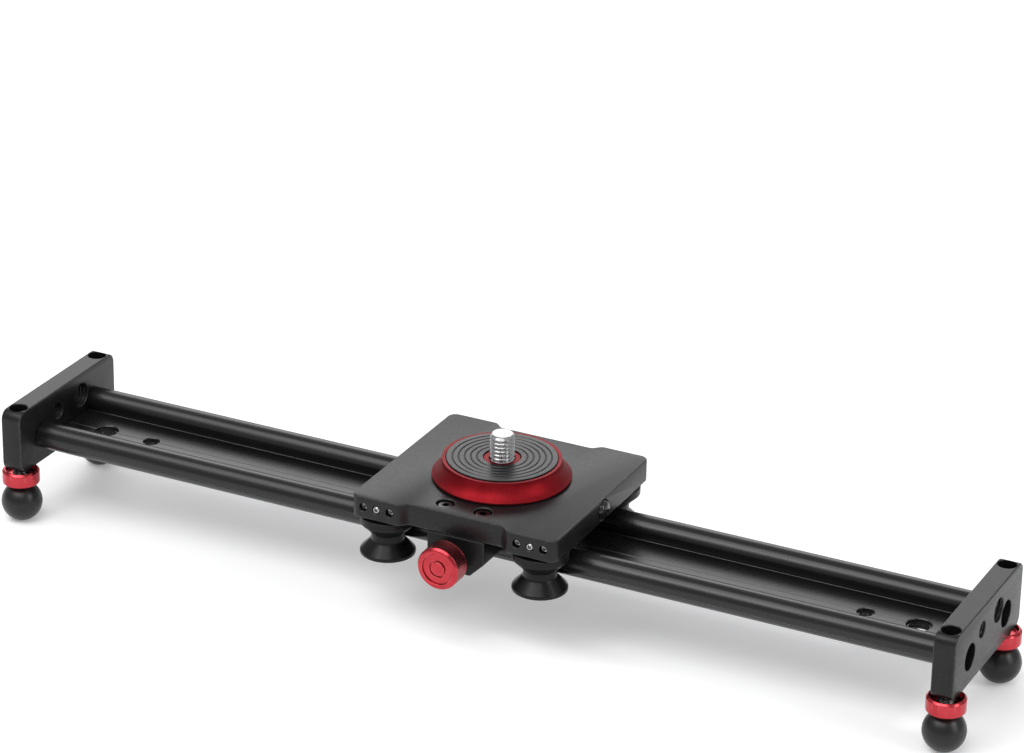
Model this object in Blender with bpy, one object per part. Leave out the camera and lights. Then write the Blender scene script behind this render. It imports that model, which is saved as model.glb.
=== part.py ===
"""Camera slider: an extruded two-rod rail between two end blocks, with a roller carriage.

Metres, +Z up.  X runs along the rail, the brake knob faces -Y, the feet stand on Z = 0.
"""

import math

import bmesh
import bpy
from mathutils import Matrix, Vector

MM = 0.001
GAP = 0.3 * MM

# Facets around a full turn, by size of the round.
WIDE_STEPS = 36
ROUND_STEPS = 24
HOLE_STEPS = 16
FINE_STEPS = 10

# Rail: two round rods joined by a flat web.
SLIDER_LENGTH = 400.0 * MM
BLOCK_THICKNESS = 8.6 * MM
ROD_RADIUS = 5.4 * MM
ROD_Y = 18.8 * MM
ROD_Z = 33.7 * MM
ROD_SEAM_ANGLE = 195.0
WEB_TOP = 31.3 * MM
WEB_BOTTOM = 27.5 * MM
WEB_SIDE_Y = 16.2 * MM
CENTRE_LINE_HALF_WIDTH = 0.3 * MM
CENTRE_LINE_DEPTH = 0.25 * MM
LARGE_MOUNT_X = 173.5 * MM
LARGE_MOUNT_RADIUS = 4.7 * MM
SMALL_MOUNT_X = 152.6 * MM
SMALL_MOUNT_RADIUS = 3.2 * MM
MOUNT_LEDGE_WIDTH = 0.8 * MM
MOUNT_LEDGE_DEPTH = 1.0 * MM
SEAM_DEPTH = 0.3 * MM
SEAM_HALF_ANGLE = 3.0
ROD_TOP_ANGLE = -20.0
WEB_FILLET = 0.2 * MM
HOLE_CHAMFER = 0.3 * MM

# End blocks.
BLOCK_HALF_WIDTH = 34.9 * MM
BLOCK_BOTTOM = 22.3 * MM
BLOCK_TOP = 48.4 * MM
BLOCK_CORNER = 4.0 * MM
SIDE_HOLE_Z = 39.2 * MM
SIDE_HOLES = ((-7.0 * MM, SMALL_MOUNT_RADIUS), (9.9 * MM, LARGE_MOUNT_RADIUS))
BOLT_HEAD_RADIUS = 4.6 * MM
BOLT_HEAD_LENGTH = 2.6 * MM
BOLT_SHANK_RADIUS = 2.4 * MM
BOLT_BORE_RADIUS = 2.7 * MM
BOLT_SINK_RADIUS = 5.2 * MM
BOLT_SINK_DEPTH = 6.0 * MM
BOLT_SINK_CHAMFER = 0.2 * MM
BOLT_REACH = 16.0 * MM
BOLT_TIP_ROOM = 2.0 * MM
BOLT_BEVEL = 0.4 * MM
BOLT_SOCKET = (4.0 * MM, 1.5 * MM)

# Levelling feet.
FOOT_X = 195.7 * MM
FOOT_Y = 28.9 * MM
BALL_RADIUS = 8.15 * MM
BALL_FLAT_RADIUS = 2.0 * MM
BALL_TOP = 15.1 * MM
STUD_RADIUS = 3.0 * MM
STUD_BOTTOM = 5.0 * MM
STUD_TOP = 40.5 * MM
STUD_BORE_TOP = 42.4 * MM
STUD_TIP_BEVEL = 0.5 * MM
STUD_SOCKET = (3.0 * MM, 2.0 * MM)
COLLAR_RADIUS = 7.4 * MM
COLLAR_BOTTOM = 15.4 * MM
COLLAR_TOP = 22.0 * MM
COLLAR_RIM_BEVEL = 0.8 * MM
COLLAR_DISH_RADIUS = 5.8 * MM
COLLAR_DISH_FLOOR_RADIUS = 5.4 * MM
COLLAR_DISH_DEPTH = 1.2 * MM
TOP_HOLE_RADIUS = 3.6 * MM

# Carriage plate.
CARRIAGE_X = 3.2 * MM
PLATE_HALF_LENGTH = 42.8 * MM
EAR_HALF_WIDTH = 41.3 * MM
WAIST_DEPTH = 3.05 * MM
WAIST_HALF_LENGTH = 18.7 * MM
EAR_START = 23.5 * MM
PLATE_BOTTOM = 43.3 * MM
PLATE_TOP = 52.3 * MM
PLATE_CORNER = 3.5 * MM
EDGE_BREAK = 0.5 * MM
SCREW_ROW_Z = 47.8 * MM
SCREW_ROW_PITCH = 5.5 * MM
CLAMP_SCREW_X = 7.8 * MM
CLAMP_SCREW_Y = -31.2 * MM
CLAMP_SINK_RADIUS = 3.5 * MM
CLAMP_SINK_DEPTH = 3.6 * MM
CLAMP_BORE_RADIUS = 1.8 * MM
CLAMP_THREAD_RADIUS = 1.7 * MM
CLAMP_THREAD_DEPTH = 10.0 * MM
CLAMP_SHANK_RADIUS = 1.4 * MM
CLAMP_SHANK_REACH = 9.5 * MM
CLAMP_HEAD_RADIUS = 2.75 * MM
CLAMP_HEAD_LENGTH = 2.6 * MM
CLAMP_SOCKET = (2.5 * MM, 1.5 * MM)
SET_SCREW_RADIUS = 1.35 * MM
SET_SCREW_BEVEL = 0.2 * MM
SET_SCREW_HOLE_RADIUS = 1.65 * MM
SET_SCREW_HOLE_CHAMFER = 0.15 * MM
SET_SCREW_SOCKET = (1.5 * MM, 1.2 * MM)
AXLE_SCREW_SINK = 0.2 * MM
OUTER_SCREW_SINK = 1.6 * MM
OUTER_SCREW_REACH = 5.6 * MM
OUTER_SCREW_HOLE_DEPTH = 6.0 * MM

# Rollers with a square V groove that holds the rods from outside.
ROLLER_X = 32.05 * MM
ROLLER_Y = 31.5 * MM
ROLLER_NECK_RADIUS = 6.4 * MM
ROLLER_NECK_HALF = 1.5 * MM
ROLLER_RIM_RADIUS = 10.65 * MM
ROLLER_LOWER_RIM = 1.3 * MM
ROLLER_TOP = 42.5 * MM
ROLLER_BORE_RADIUS = 5.3 * MM
BEARING_RADIUS = 5.0 * MM
BEARING_BORE_RADIUS = 2.5 * MM
BEARING_HALF_HEIGHT = 4.5 * MM
AXLE_RADIUS = 2.2 * MM
AXLE_HEAD_RADIUS = 4.5 * MM
AXLE_HEAD_BOTTOM = 26.3 * MM
AXLE_TOP = 49.5 * MM
AXLE_SOCKET = (3.0 * MM, 1.8 * MM)
SPACER_RADIUS = 3.9 * MM
ROLLER_EDGE = 0.3 * MM

# Brake under the front waist.
BRAKE_HALF_WIDTH = 11.85 * MM
BRAKE_FRONT = -38.25 * MM
BRAKE_BACK = -24.7 * MM
BRAKE_BOTTOM = 28.1 * MM
BRAKE_CORNER = 5.8 * MM
BRAKE_EDGE = 0.4 * MM
BRAKE_AXIS_X = 2.2 * MM
BRAKE_AXIS_Z = 35.0 * MM
SHOE_RADIUS = 4.3 * MM
SHOE_FRONT = -29.6 * MM
SHOE_TIP = -24.8 * MM
SHOE_EDGE = 0.3 * MM
BRAKE_SCREW_RADIUS = 3.0 * MM
BRAKE_SCREW_IN_KNOB = 3.5 * MM
BRAKE_COLLAR_RADIUS = 4.6 * MM
BRAKE_COLLAR_LENGTH = 2.6 * MM
KNOB_RADIUS = 8.5 * MM
KNOB_FRONT = -51.2 * MM
KNOB_BACK = -42.6 * MM
KNOB_RIM_BEVEL = 0.9 * MM
KNOB_BORE_DEPTH = 3.8 * MM
KNOB_DISH_RADIUS = 6.2 * MM
KNOB_DISH_FLOOR_RADIUS = 5.9 * MM
KNOB_DISH_DEPTH = 0.6 * MM
KNOB_GROOVE_RADIUS = 3.5 * MM
KNOB_GROOVE_DEPTH = 1.4 * MM
KNOB_BOSS_RADIUS = 2.8 * MM
KNOB_BOSS_DEPTH = 0.5 * MM

# Head mount on top of the carriage.
DISC_RADIUS = 26.7 * MM
DISC_BOTTOM = 52.6 * MM
DISC_TOP = 59.8 * MM
DISC_TOP_RADIUS = 22.8 * MM
PAD_RADIUS = 21.2 * MM
PAD_BORE_RADIUS = 7.3 * MM
PAD_TOP = 60.2 * MM
MOUNT_STUD_RADIUS = 4.76 * MM
MOUNT_STUD_TOP = 70.0 * MM
MOUNT_HEAD_RADIUS = 8.0 * MM
MOUNT_HEAD_SINK = 0.2 * MM
MOUNT_HEAD_LENGTH = 2.8 * MM
MOUNT_TIP_BEVEL = 0.8 * MM
MOUNT_SOCKET = (6.0 * MM, 1.8 * MM)
DISC_SKIRT = 0.8 * MM
DISC_FLANK_POWER = 0.8
PAD_THICKNESS = 0.9 * MM

# Carriage bumpers.
BUMPER_RADIUS = 3.7 * MM
BUMPER_REACH = 1.8 * MM
BUMPER_EDGE = 1.2 * MM
BUMPER_SEAT = 4.7 * MM
BUMPER_HOLE_DEPTH = 5.0 * MM

BLACK_ANODISED = ((0.02, 0.02, 0.022), 0.9, 0.5)
RED_ANODISED = ((0.55, 0.01, 0.03), 0.9, 0.35)
BLACK_STEEL = ((0.03, 0.03, 0.03), 0.9, 0.4)
BRIGHT_STEEL = ((0.6, 0.6, 0.6), 1.0, 0.25)
BLACK_RUBBER = ((0.015, 0.015, 0.015), 0.0, 0.7)
BLACK_PLASTIC = ((0.02, 0.02, 0.02), 0.0, 0.45)

TURN_TO = {
    "Z": Matrix.Identity(4),
    "-Z": Matrix.Rotation(math.radians(180), 4, "X"),
    "X": Matrix.Rotation(math.radians(90), 4, "Y"),
    "-X": Matrix.Rotation(math.radians(-90), 4, "Y"),
    "-Y": Matrix.Rotation(math.radians(90), 4, "X"),
    "Y": Matrix.Rotation(math.radians(-90), 4, "X"),
}


def clear_scene():
    for item in list(bpy.data.objects):
        bpy.data.objects.remove(item, do_unlink=True)


def revolve(bm, profile, steps, centre=(0.0, 0.0, 0.0), axis="Z"):
    """Spin (radius, height) points about `axis`; a profile off the axis closes on itself."""
    placing = Matrix.Translation(Vector(centre)) @ TURN_TO[axis]
    rings = []
    for radius, height in profile:
        count = steps if radius > 0.0 else 1
        ring = []
        for step in range(count):
            angle = 2.0 * math.pi * step / steps
            point = Vector((radius * math.cos(angle), radius * math.sin(angle), height))
            ring.append(bm.verts.new(placing @ point))
        rings.append(ring)
    pairs = list(zip(rings, rings[1:]))
    if profile[0][0] > 0.0:
        pairs.append((rings[-1], rings[0]))
    for low, high in pairs:
        for step in range(steps):
            following = (step + 1) % steps
            corners = [low[step % len(low)], low[following % len(low)]]
            corners += [high[following % len(high)], high[step % len(high)]]
            face = list(dict.fromkeys(corners))
            if len(face) > 2:
                bm.faces.new(face)


def cylinder(bm, radius, low, high, steps, centre=(0.0, 0.0, 0.0), axis="Z"):
    revolve(bm, [(0.0, low), (radius, low), (radius, high), (0.0, high)], steps, centre, axis)


def prism(bm, outline, low, high, to_point):
    """Extrude a closed outline; to_point(u, v, w) places its two coordinates and the height."""
    ends = []
    for level in (low, high):
        ends.append([bm.verts.new(to_point(u, v, level)) for u, v in outline])
    bm.faces.new(ends[0])
    bm.faces.new(ends[1])
    for index in range(len(outline)):
        following = (index + 1) % len(outline)
        bm.faces.new((ends[0][index], ends[0][following], ends[1][following], ends[1][index]))


def arc(centre, radius, start, stop, count):
    """Points on an arc given in degrees, both ends included."""
    points = []
    for step in range(count + 1):
        angle = math.radians(start + (stop - start) * step / count)
        points.append((centre[0] + radius * math.cos(angle), centre[1] + radius * math.sin(angle)))
    return points


def finish_mesh(bm, name):
    bmesh.ops.recalc_face_normals(bm, faces=bm.faces)
    mesh = bpy.data.meshes.new(name)
    bm.to_mesh(mesh)
    bm.free()
    return mesh


def add_object(name, bm, finish, location=(0.0, 0.0, 0.0), smooth_angle=35.0):
    """Make an object from world-space geometry with its origin moved to `location`."""
    bmesh.ops.translate(bm, verts=bm.verts, vec=-Vector(location))
    item = bpy.data.objects.new(name, finish_mesh(bm, name))
    item.location = location
    bpy.context.scene.collection.objects.link(item)
    colour, metallic, roughness = finish
    material = bpy.data.materials.new(name + "_finish")
    material.use_nodes = True
    shader = material.node_tree.nodes["Principled BSDF"]
    shader.inputs["Base Color"].default_value = (*colour, 1.0)
    shader.inputs["Metallic"].default_value = metallic
    shader.inputs["Roughness"].default_value = roughness
    item.data.materials.append(material)
    shade(item, smooth_angle)
    return item


def shade(item, smooth_angle):
    for polygon in item.data.polygons:
        polygon.use_smooth = True
    item.data.set_sharp_from_angle(angle=math.radians(smooth_angle))


def apply_modifier(item, smooth_angle=35.0):
    """Bake the modifier stack of an object into its mesh."""
    graph = bpy.context.evaluated_depsgraph_get()
    mesh = bpy.data.meshes.new_from_object(item.evaluated_get(graph))
    old = item.data
    item.modifiers.clear()
    item.data = mesh
    bpy.data.meshes.remove(old)
    shade(item, smooth_angle)


def break_edges(item, width, segments=1):
    bevel = item.modifiers.new("edge_break", "BEVEL")
    bevel.width = width
    bevel.segments = segments
    bevel.limit_method = "ANGLE"
    bevel.angle_limit = math.radians(40)
    apply_modifier(item)


def carve(item, bm):
    """Subtract world-space cutters, held in one bmesh, from an object."""
    cutter = bpy.data.objects.new("cutter", finish_mesh(bm, "cutter"))
    bpy.context.scene.collection.objects.link(cutter)
    cut = item.modifiers.new("cut", "BOOLEAN")
    cut.operation = "DIFFERENCE"
    cut.solver = "EXACT"
    cut.object = cutter
    apply_modifier(item)
    bpy.data.objects.remove(cutter, do_unlink=True)


def hole_profile(radius, depth, chamfer, reach=1.0 * MM):
    """Blind or through hole measured down from its mouth, with a chamfered mouth."""
    return [(0.0, -depth), (radius, -depth), (radius, -chamfer), (radius + chamfer, 0.0),
            (radius + chamfer, reach), (0.0, reach)]


def sunk_profile(sink_radius, sink_depth, radius, depth, chamfer):
    """Counterbored hole measured down from its mouth."""
    return [(0.0, -depth), (radius, -depth), (radius, -sink_depth), (sink_radius, -sink_depth),
            (sink_radius, -chamfer), (sink_radius + chamfer, 0.0),
            (sink_radius + chamfer, MM), (0.0, MM)]


def socket(bm, size, mouth, axis):
    """Hexagon socket cutter of (width, depth) sunk into a screw head whose face is at `mouth`."""
    width, depth = size
    cylinder(bm, width / math.sqrt(3.0), -depth, 0.5 * MM, 6, mouth, axis)


def build_rail():
    """Two rods and a web in one section, open ends bored for the end-block bolts."""
    half = SLIDER_LENGTH / 2 - BLOCK_THICKNESS - GAP
    centre = (-ROD_Y, ROD_Z)
    lower_angle = 360.0 - math.degrees(math.acos((ROD_Y - WEB_SIDE_Y) / ROD_RADIUS))
    seam = math.radians(ROD_SEAM_ANGLE)
    depth = ROD_RADIUS - SEAM_DEPTH
    seam_point = (centre[0] + depth * math.cos(seam), centre[1] + depth * math.sin(seam))
    side = [(centre[0] + ROD_RADIUS + WEB_FILLET, WEB_TOP)]
    side += arc(centre, ROD_RADIUS, ROD_TOP_ANGLE, ROD_SEAM_ANGLE - SEAM_HALF_ANGLE, 16)
    side.append(seam_point)
    side += arc(centre, ROD_RADIUS, ROD_SEAM_ANGLE + SEAM_HALF_ANGLE, lower_angle, 8)
    side += [(-WEB_SIDE_Y, WEB_BOTTOM + EDGE_BREAK), (-WEB_SIDE_Y + EDGE_BREAK, WEB_BOTTOM)]
    outline = side + [(-y, z) for y, z in reversed(side)]
    outline += [(CENTRE_LINE_HALF_WIDTH, WEB_TOP), (0.0, WEB_TOP - CENTRE_LINE_DEPTH),
                (-CENTRE_LINE_HALF_WIDTH, WEB_TOP)]
    bm = bmesh.new()
    prism(bm, outline, -half, half, lambda y, z, x: (x, y, z))
    rail = add_object("track_rail", bm, BLACK_ANODISED, (0.0, 0.0, ROD_Z))
    cutters = bmesh.new()
    for end in (-1, 1):
        for side_sign in (-1, 1):
            cylinder(cutters, BOLT_BORE_RADIUS, -BOLT_REACH - BOLT_TIP_ROOM, MM, HOLE_STEPS,
                     (end * half, side_sign * ROD_Y, ROD_Z), "X" if end > 0 else "-X")
        for x, radius in ((LARGE_MOUNT_X, LARGE_MOUNT_RADIUS), (SMALL_MOUNT_X, SMALL_MOUNT_RADIUS)):
            through = WEB_TOP - WEB_BOTTOM + MM
            sunk = sunk_profile(radius, MOUNT_LEDGE_DEPTH, radius - MOUNT_LEDGE_WIDTH, through,
                                HOLE_CHAMFER)
            revolve(cutters, sunk, ROUND_STEPS, (end * x, 0.0, WEB_TOP))
    carve(rail, cutters)


def build_end_block(name, end):
    inner = end * (SLIDER_LENGTH / 2 - BLOCK_THICKNESS)
    outer = end * SLIDER_LENGTH / 2
    corner_y = BLOCK_HALF_WIDTH - BLOCK_CORNER
    low = BLOCK_BOTTOM + BLOCK_CORNER
    high = BLOCK_TOP - BLOCK_CORNER
    outline = arc((corner_y, high), BLOCK_CORNER, 0, 90, 5)
    outline += arc((-corner_y, high), BLOCK_CORNER, 90, 180, 5)
    outline += arc((-corner_y, low), BLOCK_CORNER, 180, 270, 5)
    outline += arc((corner_y, low), BLOCK_CORNER, 270, 360, 5)
    bm = bmesh.new()
    prism(bm, outline, min(inner, outer), max(inner, outer), lambda y, z, x: (x, y, z))
    block = add_object(name, bm, BLACK_ANODISED, (end * FOOT_X, 0.0, ROD_Z))
    break_edges(block, EDGE_BREAK)
    out = "X" if end > 0 else "-X"
    through = BLOCK_THICKNESS + MM
    cutters = bmesh.new()
    for side in (-1, 1):
        bore = [(0.0, BLOCK_BOTTOM - MM), (STUD_RADIUS + GAP, BLOCK_BOTTOM - MM),
                (STUD_RADIUS + GAP, STUD_BORE_TOP), (TOP_HOLE_RADIUS, STUD_BORE_TOP),
                (TOP_HOLE_RADIUS, BLOCK_TOP + MM), (0.0, BLOCK_TOP + MM)]
        revolve(cutters, bore, HOLE_STEPS, (end * FOOT_X, side * FOOT_Y, 0.0))
    carve(block, cutters)
    cutters = bmesh.new()
    for side in (-1, 1):
        sunk = sunk_profile(BOLT_SINK_RADIUS, BOLT_SINK_DEPTH, BOLT_BORE_RADIUS, through,
                            BOLT_SINK_CHAMFER)
        revolve(cutters, sunk, ROUND_STEPS, (outer, side * ROD_Y, ROD_Z), out)
    for y, radius in SIDE_HOLES:
        revolve(cutters, hole_profile(radius, through, HOLE_CHAMFER), ROUND_STEPS,
                (outer, y, SIDE_HOLE_Z), out)
    carve(block, cutters)


def build_rail_bolt(name, end, side):
    seat = BLOCK_THICKNESS - BOLT_SINK_DEPTH + GAP
    face = SLIDER_LENGTH / 2 - BLOCK_THICKNESS + seat + BOLT_HEAD_LENGTH
    neck = face - BOLT_HEAD_LENGTH
    tip = SLIDER_LENGTH / 2 - BLOCK_THICKNESS - BOLT_REACH
    bevel = BOLT_BEVEL
    profile = [(0.0, tip), (BOLT_SHANK_RADIUS - bevel, tip), (BOLT_SHANK_RADIUS, tip + bevel),
               (BOLT_SHANK_RADIUS, neck), (BOLT_HEAD_RADIUS, neck),
               (BOLT_HEAD_RADIUS, face - bevel), (BOLT_HEAD_RADIUS - bevel, face), (0.0, face)]
    axis = "X" if end > 0 else "-X"
    bm = bmesh.new()
    revolve(bm, profile, HOLE_STEPS, (0.0, side * ROD_Y, ROD_Z), axis)
    bolt = add_object(name, bm, BLACK_STEEL, (end * neck, side * ROD_Y, ROD_Z))
    cutters = bmesh.new()
    socket(cutters, BOLT_SOCKET, (end * face, side * ROD_Y, ROD_Z), axis)
    carve(bolt, cutters)


def build_foot(tag, end, side):
    x = end * FOOT_X
    y = side * FOOT_Y
    ball_centre = math.sqrt(BALL_RADIUS ** 2 - BALL_FLAT_RADIUS ** 2)
    low_angle = -90.0 + math.degrees(math.asin(BALL_FLAT_RADIUS / BALL_RADIUS))
    top_angle = math.degrees(math.asin((BALL_TOP - ball_centre) / BALL_RADIUS))
    bore = STUD_RADIUS + GAP
    ball = [(0.0, 0.0)] + arc((0.0, ball_centre), BALL_RADIUS, low_angle, top_angle, 9)
    ball += [(bore, BALL_TOP), (bore, STUD_BOTTOM - GAP), (0.0, STUD_BOTTOM - GAP)]
    bm = bmesh.new()
    revolve(bm, ball, ROUND_STEPS, (x, y, 0.0))
    add_object("foot_ball_" + tag, bm, BLACK_RUBBER, (x, y, ball_centre))

    rim = COLLAR_RIM_BEVEL
    dish = COLLAR_TOP - COLLAR_DISH_DEPTH
    collar = [(bore, COLLAR_BOTTOM), (COLLAR_RADIUS - rim, COLLAR_BOTTOM),
              (COLLAR_RADIUS, COLLAR_BOTTOM + rim), (COLLAR_RADIUS, COLLAR_TOP - rim),
              (COLLAR_RADIUS - rim, COLLAR_TOP), (COLLAR_DISH_RADIUS, COLLAR_TOP),
              (COLLAR_DISH_FLOOR_RADIUS, dish), (bore, dish)]
    bm = bmesh.new()
    revolve(bm, collar, ROUND_STEPS, (x, y, 0.0))
    add_object("foot_collar_" + tag, bm, RED_ANODISED, (x, y, COLLAR_BOTTOM))

    tip = STUD_TIP_BEVEL
    stud = [(0.0, STUD_BOTTOM), (STUD_RADIUS, STUD_BOTTOM), (STUD_RADIUS, STUD_TOP - tip),
            (STUD_RADIUS - tip, STUD_TOP), (0.0, STUD_TOP)]
    bm = bmesh.new()
    revolve(bm, stud, HOLE_STEPS, (x, y, 0.0))
    item = add_object("foot_stud_" + tag, bm, BLACK_STEEL, (x, y, COLLAR_TOP))
    cutters = bmesh.new()
    socket(cutters, STUD_SOCKET, (x, y, STUD_TOP), "Z")
    carve(item, cutters)


def plate_outline():
    """Rectangle with four ears; a cosine step blends each ear into the waist."""
    corner_x = PLATE_HALF_LENGTH - PLATE_CORNER
    corner_y = EAR_HALF_WIDTH - PLATE_CORNER
    quarter = arc((corner_x, corner_y), PLATE_CORNER, 0, 90, 5)
    for step in range(9):
        part = step / 8.0
        x = EAR_START + (WAIST_HALF_LENGTH - EAR_START) * part
        drop = WAIST_DEPTH * (1.0 - math.cos(math.pi * part)) / 2.0
        quarter.append((x, EAR_HALF_WIDTH - drop))
    back = quarter + [(-x, y) for x, y in reversed(quarter)]
    return back + [(-x, -y) for x, y in back]


def build_carriage_plate():
    bm = bmesh.new()
    prism(bm, plate_outline(), PLATE_BOTTOM, PLATE_TOP, lambda x, y, z: (x + CARRIAGE_X, y, z))
    plate = add_object("carriage_plate", bm, BLACK_ANODISED, (CARRIAGE_X, 0.0, PLATE_BOTTOM))
    break_edges(plate, EDGE_BREAK)
    cutters = bmesh.new()
    for sign in (-1, 1):
        sunk = sunk_profile(CLAMP_SINK_RADIUS, CLAMP_SINK_DEPTH, CLAMP_BORE_RADIUS,
                            PLATE_TOP - PLATE_BOTTOM + MM, HOLE_CHAMFER)
        revolve(cutters, sunk, HOLE_STEPS,
                (CARRIAGE_X + sign * CLAMP_SCREW_X, CLAMP_SCREW_Y, PLATE_TOP))
        side = CARRIAGE_X + sign * PLATE_HALF_LENGTH
        recess = hole_profile(BUMPER_RADIUS + GAP, BUMPER_HOLE_DEPTH, HOLE_CHAMFER)
        revolve(cutters, recess, ROUND_STEPS, (side, 0.0, SCREW_ROW_Z), "X" if sign > 0 else "-X")
        for end in (-1, 1):
            cylinder(cutters, AXLE_RADIUS + GAP, PLATE_BOTTOM - MM, AXLE_TOP + GAP, HOLE_STEPS,
                     (CARRIAGE_X + end * ROLLER_X, sign * ROLLER_Y, 0.0))
    head_room = PLATE_BOTTOM + MOUNT_HEAD_SINK + MOUNT_HEAD_LENGTH + GAP
    pocket = [(0.0, PLATE_BOTTOM - MM), (MOUNT_HEAD_RADIUS + GAP, PLATE_BOTTOM - MM),
              (MOUNT_HEAD_RADIUS + GAP, head_room), (MOUNT_STUD_RADIUS + GAP, head_room),
              (MOUNT_STUD_RADIUS + GAP, PLATE_TOP + MM), (0.0, PLATE_TOP + MM)]
    revolve(cutters, pocket, ROUND_STEPS, (CARRIAGE_X, 0.0, 0.0))
    carve(plate, cutters)
    cutters = bmesh.new()
    for side in (-1, 1):
        for end in (-1, 1):
            for slot in (-1, 0, 1):
                depth = EAR_HALF_WIDTH - ROLLER_Y if slot == 0 else OUTER_SCREW_HOLE_DEPTH
                x = CARRIAGE_X + end * ROLLER_X + slot * SCREW_ROW_PITCH
                bore = hole_profile(SET_SCREW_HOLE_RADIUS, depth, SET_SCREW_HOLE_CHAMFER)
                revolve(cutters, bore, FINE_STEPS, (x, side * EAR_HALF_WIDTH, SCREW_ROW_Z),
                        "Y" if side > 0 else "-Y")
    carve(plate, cutters)


def build_set_screws():
    """Three per ear: the middle one locks the roller axle, the outer two sit deeper."""
    for side, row in ((-1, "front"), (1, "back")):
        for end, column in ((-1, "left"), (1, "right")):
            for slot, place in ((-1, "a"), (0, "b"), (1, "c")):
                sink = AXLE_SCREW_SINK if slot == 0 else OUTER_SCREW_SINK
                to_axle = EAR_HALF_WIDTH - ROLLER_Y - AXLE_RADIUS - GAP
                reach = to_axle if slot == 0 else OUTER_SCREW_REACH
                x = CARRIAGE_X + end * ROLLER_X + slot * SCREW_ROW_PITCH
                axis = "Y" if side > 0 else "-Y"
                face = (x, side * (EAR_HALF_WIDTH - sink), SCREW_ROW_Z)
                profile = [(0.0, sink - reach), (SET_SCREW_RADIUS, sink - reach),
                           (SET_SCREW_RADIUS, -SET_SCREW_BEVEL),
                           (SET_SCREW_RADIUS - SET_SCREW_BEVEL, 0.0), (0.0, 0.0)]
                bm = bmesh.new()
                revolve(bm, profile, FINE_STEPS, face, axis)
                screw = add_object(f"set_screw_{row}_{column}_{place}", bm, BRIGHT_STEEL, face)
                cutters = bmesh.new()
                socket(cutters, SET_SCREW_SOCKET, face, axis)
                carve(screw, cutters)


def build_roller(tag, end, side):
    x = CARRIAGE_X + end * ROLLER_X
    y = side * ROLLER_Y
    slope = ROLLER_RIM_RADIUS - ROLLER_NECK_RADIUS
    flare = ROLLER_NECK_HALF + slope
    edge = ROLLER_EDGE
    bottom = -flare - ROLLER_LOWER_RIM
    top = ROLLER_TOP - ROD_Z
    profile = [(ROLLER_BORE_RADIUS, bottom), (ROLLER_RIM_RADIUS - edge, bottom),
               (ROLLER_RIM_RADIUS, bottom + edge), (ROLLER_RIM_RADIUS, -flare),
               (ROLLER_NECK_RADIUS, -ROLLER_NECK_HALF), (ROLLER_NECK_RADIUS, ROLLER_NECK_HALF),
               (ROLLER_RIM_RADIUS, flare), (ROLLER_RIM_RADIUS, top - edge),
               (ROLLER_RIM_RADIUS - edge, top), (ROLLER_BORE_RADIUS, top)]
    bm = bmesh.new()
    revolve(bm, profile, ROUND_STEPS, (x, y, ROD_Z))
    add_object("roller_" + tag, bm, BLACK_PLASTIC, (x, y, ROD_Z))

    half = BEARING_HALF_HEIGHT
    bearing = [(BEARING_BORE_RADIUS, -half), (BEARING_RADIUS, -half), (BEARING_RADIUS, half),
               (BEARING_BORE_RADIUS, half)]
    bm = bmesh.new()
    revolve(bm, bearing, HOLE_STEPS, (x, y, ROD_Z))
    add_object("roller_bearing_" + tag, bm, BRIGHT_STEEL, (x, y, ROD_Z))

    low = ROD_Z + BEARING_HALF_HEIGHT + GAP
    high = PLATE_BOTTOM - GAP
    bm = bmesh.new()
    revolve(bm, [(BEARING_BORE_RADIUS, low), (SPACER_RADIUS, low), (SPACER_RADIUS, high),
                 (BEARING_BORE_RADIUS, high)], HOLE_STEPS, (x, y, 0.0))
    add_object("roller_spacer_" + tag, bm, BRIGHT_STEEL, (x, y, low))

    neck = ROD_Z - BEARING_HALF_HEIGHT - GAP
    axle = [(0.0, AXLE_HEAD_BOTTOM), (AXLE_HEAD_RADIUS - edge, AXLE_HEAD_BOTTOM),
            (AXLE_HEAD_RADIUS, AXLE_HEAD_BOTTOM + edge), (AXLE_HEAD_RADIUS, neck),
            (AXLE_RADIUS, neck), (AXLE_RADIUS, AXLE_TOP), (0.0, AXLE_TOP)]
    bm = bmesh.new()
    revolve(bm, axle, HOLE_STEPS, (x, y, 0.0))
    bolt = add_object("roller_axle_" + tag, bm, BRIGHT_STEEL, (x, y, neck))
    cutters = bmesh.new()
    socket(cutters, AXLE_SOCKET, (x, y, AXLE_HEAD_BOTTOM), "-Z")
    carve(bolt, cutters)


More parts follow.
